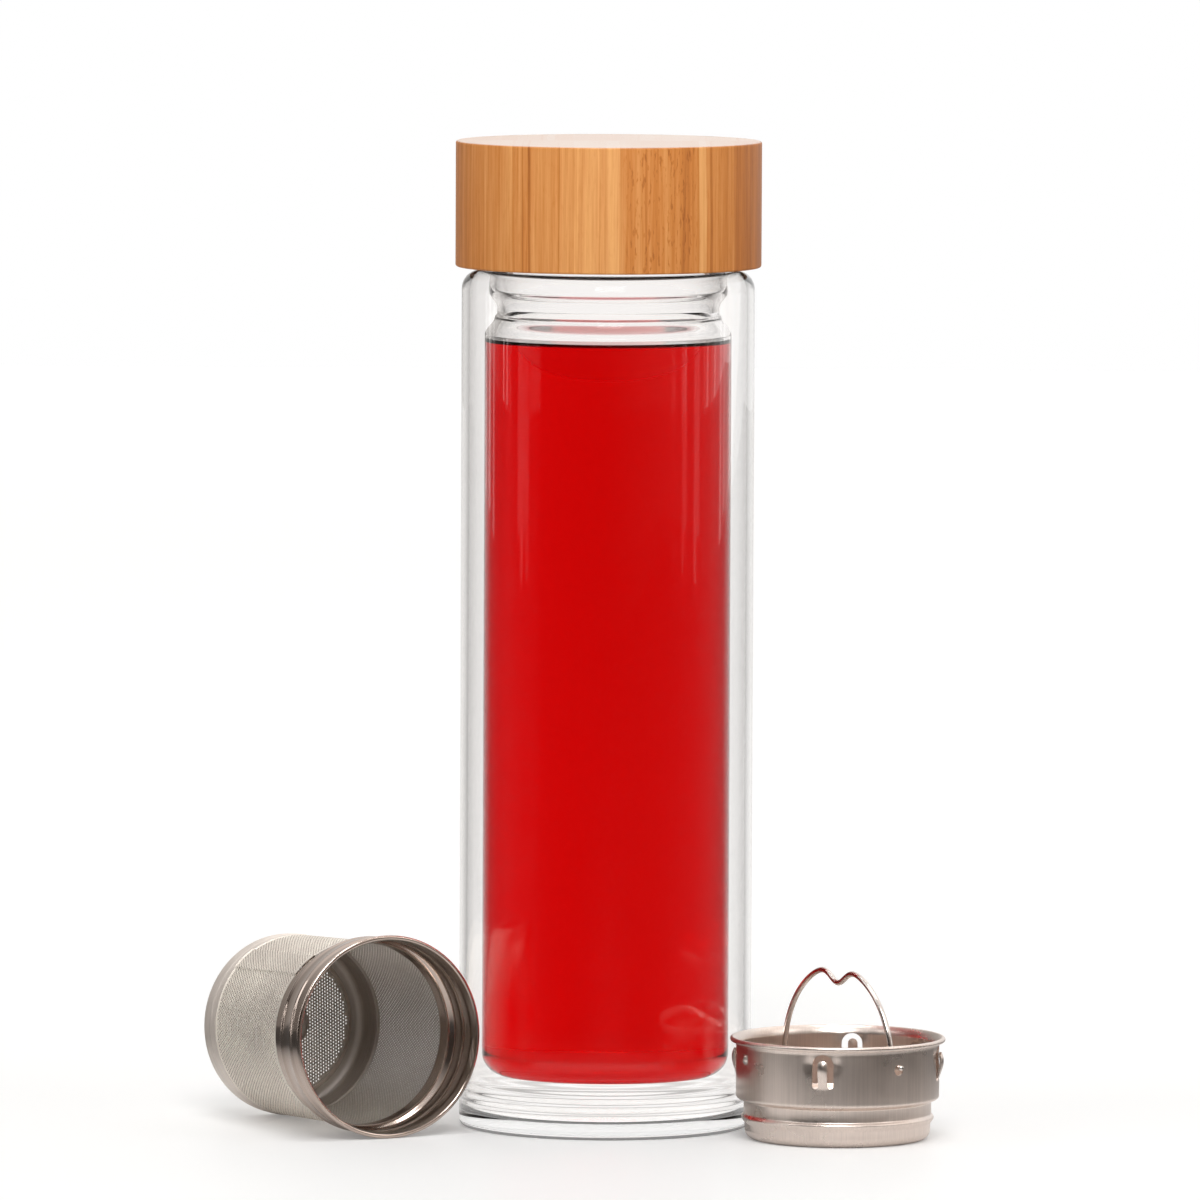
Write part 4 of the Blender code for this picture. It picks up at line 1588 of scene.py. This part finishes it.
@dataclass
class Basket:
    """Tea basket that lies on its side: plain collar, perforated wall and drawn base."""

    place: Matrix
    length: float
    sheet: float = 0.0005
    roll: float = 0.00062
    lip_r: float = 0.0246
    collar_r: float = 0.0236
    top_r: float = 0.0225
    base_r: float = 0.02215
    collar_length: float = 0.0165
    rib: float = 0.0004
    rib_drop: float = 0.0060
    rib_width: float = 0.0022
    step_drop: float = 0.0112
    step_width: float = 0.0018
    base_height: float = 0.0082
    corner: float = 0.0025
    foot_width: float = 0.0013
    panel_raise: float = 0.0008
    bead: float = 0.00015
    bead_height: float = 0.0030
    bead_width: float = 0.0014
    butt: float = 0.00006
    wall_sheet: float = 0.00014
    hole_pitch: float = 0.00081
    hole_r: float = 0.00025
    panel_zone: Point = (0.0065, 0.0169)
    boss_r: float = 0.0065
    boss_slope: float = 0.0011
    boss_raise: float = 0.0007
    boss_rings: tuple = (0.0004, 0.002, 0.0035, 0.0050, 0.0054, 0.0057, 0.0060, 0.0063)
    seam_way: Point = (0.860, 0.510)
    sides: int = 192

    @classmethod
    def from_frame(cls) -> "Basket":
        """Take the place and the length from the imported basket."""
        place, length = axis_frame("basket_base", "basket_collar")
        return cls(place=place, length=length)

    def build(self) -> None:
        """Make and dress the collar, the wall and the base."""
        collar = turned("basket_lip_band", self.collar_section(), self.sides)
        base = self.base_object()
        seam = self.base_height + self.butt
        band = PerforatedBand(
            low_r=self.base_r, high_r=self.top_r, low=seam,
            high=self.length - self.collar_length - self.butt, sheet=self.wall_sheet,
            pitch=self.hole_pitch, hole_r=self.hole_r, margin=0.0009,
            seam_bearing=self.seam_angle(), seam_width=0.0068, seam_lift=0.0003)
        wall = band.build("basket_mesh_wall")
        # The collar steel's dark brown colour paints shade inside the collar and reflections of tea
        # leaves, which the scene doesn't hold.
        bright = Steel("collar_steel", (0.55, 0.455, 0.40), 0.13, Streaks.AROUND, 0.3).make()
        # inside=0.58 paints shade on the inner sides of the base and the wall.
        satin = Steel("base_steel", (0.85, 0.78, 0.72), 0.56, Streaks.AROUND, inside=0.58).make()
        etched = Steel("basket_sheet", (1.0, 0.90, 0.82), 0.62, Streaks.FINE, inside=0.58).make()
        for piece, slot, finish, node in (
                (collar, "steel", bright, "basket_collar"),
                (wall, "satin_steel", etched, "basket_wall"),
                (base, "steel", satin, "basket_base")):
            piece.matrix_world = self.place
            settle(piece, "basket", slot, finish, [node])

    def seam_angle(self) -> float:
        """Angle, in the basket's own space, of the wall's seam, which lies at the upper front."""
        front = self.place.to_3x3().inverted() @ (facing(0.0) * self.seam_way[0] + UP * self.seam_way[1])
        return math.degrees(math.atan2(front.y, front.x))

    def collar_section(self) -> list[Point]:
        """Section of the collar: step in to the wall, rib and rolled lip.

        Returns:
            Its points.
        """
        rib_z, step_z = self.length - self.rib_drop, self.length - self.step_drop
        wall = straight((self.top_r, self.length - self.collar_length),
                        (self.top_r, step_z - self.step_width), 3)
        wall += ease(wall[-1], (self.collar_r + self.rib * 0.6, step_z), 10)
        wall += ease(wall[-1], (self.collar_r, step_z + self.step_width * 0.7), 8)
        wall += ease((self.collar_r, rib_z - self.rib_width / 2), (self.collar_r + self.rib, rib_z), 8)
        wall += ease(wall[-1], (self.collar_r, rib_z + self.rib_width / 2), 8)
        wall += [(self.collar_r, self.length - 3.2 * self.roll)]
        return rolled(wall, self.lip_r, self.length, self.roll, self.sheet)

    def base_object(self) -> bpy.types.Object:
        """Drawn base: short side with a bead, round corner, foot and a perforated panel.

        Returns:
            The base as an object.
        """
        corner = (self.base_r - self.corner, self.corner)
        foot_r = corner[0] - self.foot_width
        panel_r = foot_r - self.panel_raise
        bead_z, bead_half = self.corner + self.bead_height, self.bead_width / 2
        outside = [(panel_r, self.panel_raise)] + ease((panel_r, self.panel_raise), (foot_r, 0.0), 6)
        outside += arc(corner, self.corner, -90, 0, 12)
        outside += [(self.base_r, bead_z - bead_half)]
        outside += ease(outside[-1], (self.base_r + self.bead, bead_z), 6)
        outside += ease(outside[-1], (self.base_r, bead_z + bead_half), 6)
        outside += [(self.base_r, self.base_height)]
        inside = inward(outside, self.sheet)
        inside[0] = (panel_r, self.panel_raise + self.sheet)
        vertices, faces = lathe(outside + inside[::-1], self.sides, False)

        def crown(radius: float) -> float:
            """Raise of the plain boss in the middle of the panel."""
            share = min(1.0, max(0.0, (self.boss_r - radius) / self.boss_slope))
            return self.boss_raise * (1 - math.cos(math.pi * share)) / 2

        disc = perforated_disc(panel_r, self.sides, self.panel_zone, self.hole_pitch, self.hole_r,
                               self.panel_raise, self.sheet, crown, self.boss_rings, False)
        shift, count = len(vertices), len(faces)
        vertices += disc[0]
        faces += [tuple(v + shift for v in face) for face in disc[1]]
        base = object_from("basket_drawn_base", vertices, faces)
        rework(base, lambda bm: bmesh.ops.remove_doubles(bm, verts=bm.verts, dist=NEAR))
        base.data.set_sharp_from_angle(angle=SMOOTH_ANGLE)
        return base


# Studio


@dataclass(frozen=True)
class Softbox:
    """Square soft lamp."""

    name: str
    place: Vector
    size: float
    watts: float

    def hang(self, aim: Vector) -> None:
        """Hang the lamp.

        Args:
            aim: The place that it points at.
        """
        data = bpy.data.lights.new(self.name, "AREA")
        data.size, data.energy = self.size, self.watts
        lamp = linked(self.name, data)
        lamp.location = self.place
        lamp.rotation_euler = (aim - self.place).to_track_quat("-Z", "Y").to_euler()


@dataclass
class Studio:
    """Pale table, soft lamps and a long-lens camera a little above the table."""

    aim: Vector = Vector((-0.0017, 0.0, 0.1282))
    stand: Vector = Vector((-0.0017, -3.2160, 0.3824))
    softboxes: tuple = (
        Softbox("left_softbox", Vector((-2.0, -0.8, 1.5)), 1.1, 6.0),
        Softbox("right_softbox", Vector((2.0, -0.8, 1.5)), 1.1, 5.0),
        Softbox("front_softbox", Vector((0.05, -1.6, 1.35)), 0.8, 19.0),
        Softbox("top_softbox", Vector((0.0, -0.4, 1.6)), 0.5, 6.5),
    )
    glass_bounces: int = 24
    mirror_bounces: int = 8
    lens: float = 397.9
    sensor: float = 36.0
    sight: float = 50.0
    lean: float = 0.25
    table: float = 6.0
    cove: Point = (-0.5, 3.0)
    table_glow: tuple = ((0.0, 0.12), (0.143, 0.18), (0.257, 0.31), (0.457, 0.44), (1.0, 0.56))
    mirror_glow: float = 0.42
    foot_edge: Point = (0.030, 0.037)
    foot_glow: float = 0.35
    foot_mirror: float = 0.05
    lit_edge: Point = (0.08, 0.19)
    lit_level: float = 0.86
    unlit: float = 0.03
    back_edge: Point = (0.70, 0.93)
    back_level: float = 0.8
    room_light: tuple = ((0.0, 0.26), (0.40, 0.34), (0.65, 0.48), (0.90, 0.75))
    room_mirrored: tuple = ((0.0, 0.08), (0.45, 0.14), (0.60, 0.24), (0.72, 0.42), (0.84, 0.8),
                            (0.97, 0.95))
    room_warmth: float = 0.25
    side_light: tuple = ((0.0, 0.35), (0.35, 0.6), (0.5, 0.9), (0.65, 2.0), (0.87, 3.6), (1.0, 1.6))
    strip_lights: tuple = (0.020, 0.035, 0.949, 0.984)
    strip_width: float = 0.0016
    strip_level: float = 4.0
    ceiling: float = 0.9
    ceiling_edge: Point = (0.40, 0.92)

    def build(self) -> None:
        """Set up the table, the lamps, the surroundings and the camera."""
        self.build_table()
        self.build_surroundings()
        for softbox in self.softboxes:
            softbox.hang(self.aim)
        self.build_camera()
        scene = bpy.context.scene
        scene.view_settings.view_transform = "Standard"
        scene.cycles.max_bounces = self.glass_bounces
        scene.cycles.transmission_bounces = self.glass_bounces
        scene.cycles.glossy_bounces = self.mirror_bounces

    def build_camera(self) -> None:
        """Place the camera and make it the scene's."""
        data = bpy.data.cameras.new("camera")
        data.lens = self.lens
        data.sensor_width = self.sensor
        data.clip_end = self.sight
        camera = linked("camera", data)
        camera.location = self.stand
        look = (self.aim - self.stand).to_track_quat("-Z", "Y")
        roll = Quaternion(UP, math.radians(self.lean))
        camera.rotation_euler = (look @ roll).to_euler()
        bpy.context.scene.camera = camera

    def build_table(self) -> None:
        """Lay the pale table, which looks white in the picture and keeps the object's shadow.

        Glass and metal mirror only the lit part of it: what lies near the object, and what lies
        behind it.
        """
        half = self.table / 2
        table = object_from("table", [(-half, -half, 0.0), (half, -half, 0.0), (half, half, 0.0),
                                      (-half, half, 0.0)], [(0, 1, 2, 3)])
        graph = Graph.of_material("table")
        mottle = graph.noise(3.0, 2.0)
        length = graph.node("ShaderNodeVectorMath", operation="LENGTH")
        graph.feed(graph.spot, length.inputs[0])
        distance, depth = length.outputs["Value"], graph.part("Y")
        # For mirrored rays the table's colour and glow are painted: light near the object and behind it,
        # near dark elsewhere.
        beside = graph.spread(distance, *self.lit_edge, self.lit_level, self.unlit)
        behind = graph.spread(graph.maths("DIVIDE", depth, distance), *self.back_edge)
        lit = graph.maths("MAXIMUM", beside, graph.maths("MULTIPLY", behind, self.back_level))
        mirrored, direct = graph.rays()
        shade = graph.mix(mirrored, WHITE, lit)
        cloth = graph.mix(mottle, (0.80, 0.795, 0.79), (0.82, 0.82, 0.815))
        graph.set(Base_Color=graph.mix(1.0, cloth, shade, "MULTIPLY"), Roughness=0.45,
                  Specular_IOR_Level=0.1, Emission_Color=WHITE)
        through = graph.maths("MULTIPLY", graph.maths("MULTIPLY", mirrored, lit), self.mirror_glow)
        glow = graph.ramp(graph.spread(depth, *self.cove), [
            (share, (level, level, level)) for share, level in self.table_glow])
        # Painted light under the bottle's foot, standing in for the light that passes through its glass
        # base.
        lift = graph.maths("MULTIPLY_ADD", mirrored, self.foot_mirror,
                           graph.maths("MULTIPLY", direct, self.foot_glow))
        under = graph.maths("MULTIPLY", lift, graph.spread(distance, *self.foot_edge, 1.0, 0.0))
        graph.set(Emission_Strength=graph.maths(
            "MULTIPLY_ADD", graph.maths("ADD", direct, through), glow, under))
        table.data.materials.append(graph.material)
        table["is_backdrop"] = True

    def build_surroundings(self) -> None:
        """Make the room: white behind, grey at the sides and in front, with narrow upright lights."""
        world = bpy.data.worlds.new("room")
        bpy.context.scene.world = world
        graph = Graph(world)
        way = graph.node("ShaderNodeTexCoord").outputs["Generated"]
        depth = graph.spread(graph.part("Y", way), -1.0, 1.0)
        ambient = graph.ramp(depth, self.greys(self.room_light))
        mirror = graph.ramp(depth, self.greys(self.room_mirrored, self.room_warmth))
        across = graph.spread(graph.part("X", way), -1.0, 1.0)
        side = graph.ramp(across, self.greys(self.side_light))
        mirror = graph.mix(1.0, graph.mix(1.0, mirror, side, "MULTIPLY"), WHITE, "DARKEN")
        mirror = graph.mix(1.0, mirror, graph.ramp(across, self.greys(self.strips())), "ADD")
        overhead = graph.spread(graph.part("Z", way), *self.ceiling_edge, 0.0, self.ceiling)
        above = graph.mix(1.0, mirror, overhead, "ADD")
        mirrored, direct = graph.rays()
        colour = graph.mix(direct, graph.mix(mirrored, ambient, above), WHITE)
        graph.feed(colour, graph.tree.nodes["Background"].inputs["Color"])

    def strips(self) -> list[Point]:
        """Stops of the narrow upright lights that glass mirrors as fine streaks.

        Returns:
            Pairs of a position across the room and a light level.
        """
        stops = []
        for middle in self.strip_lights:
            stops += [(middle - self.strip_width, 0.0), (middle, self.strip_level),
                      (middle + self.strip_width, 0.0)]
        return stops

    def greys(self, levels: Sequence[Point], warmth: float = 0.0) -> list[Stop]:
        """Turn positions with light levels into stops of a faintly warm grey.

        Args:
            levels: Pairs of a position and a light level.
            warmth: How much warmer the dark stops are.

        Returns:
            The stops.
        """
        stops = []
        for position, level in levels:
            tone = warmth * max(0.0, 1.0 - level)
            stops.append((position, (level, level * (0.99 - 0.5 * tone), level * (0.975 - 0.8 * tone))))
        return stops


def corners(box: Sequence[Vector]) -> list[list[float]]:
    """Turn a box's two corners into plain lists of numbers."""
    return [[float(c) for c in corner] for corner in box]


def main() -> None:
    """Build the studio, then each sub-assembly, and work out the sizes of both models."""
    logging.basicConfig(level=logging.INFO, format="%(message)s")
    Studio().build()
    Bottle.from_frame().build()
    Lid.from_frame().build()
    StrainerCup.from_frame().build()
    Basket.from_frame().build()
    {"cad": corners(CAD_BOX), "visual": corners(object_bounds())}


if __name__ == "__main__":
    main()
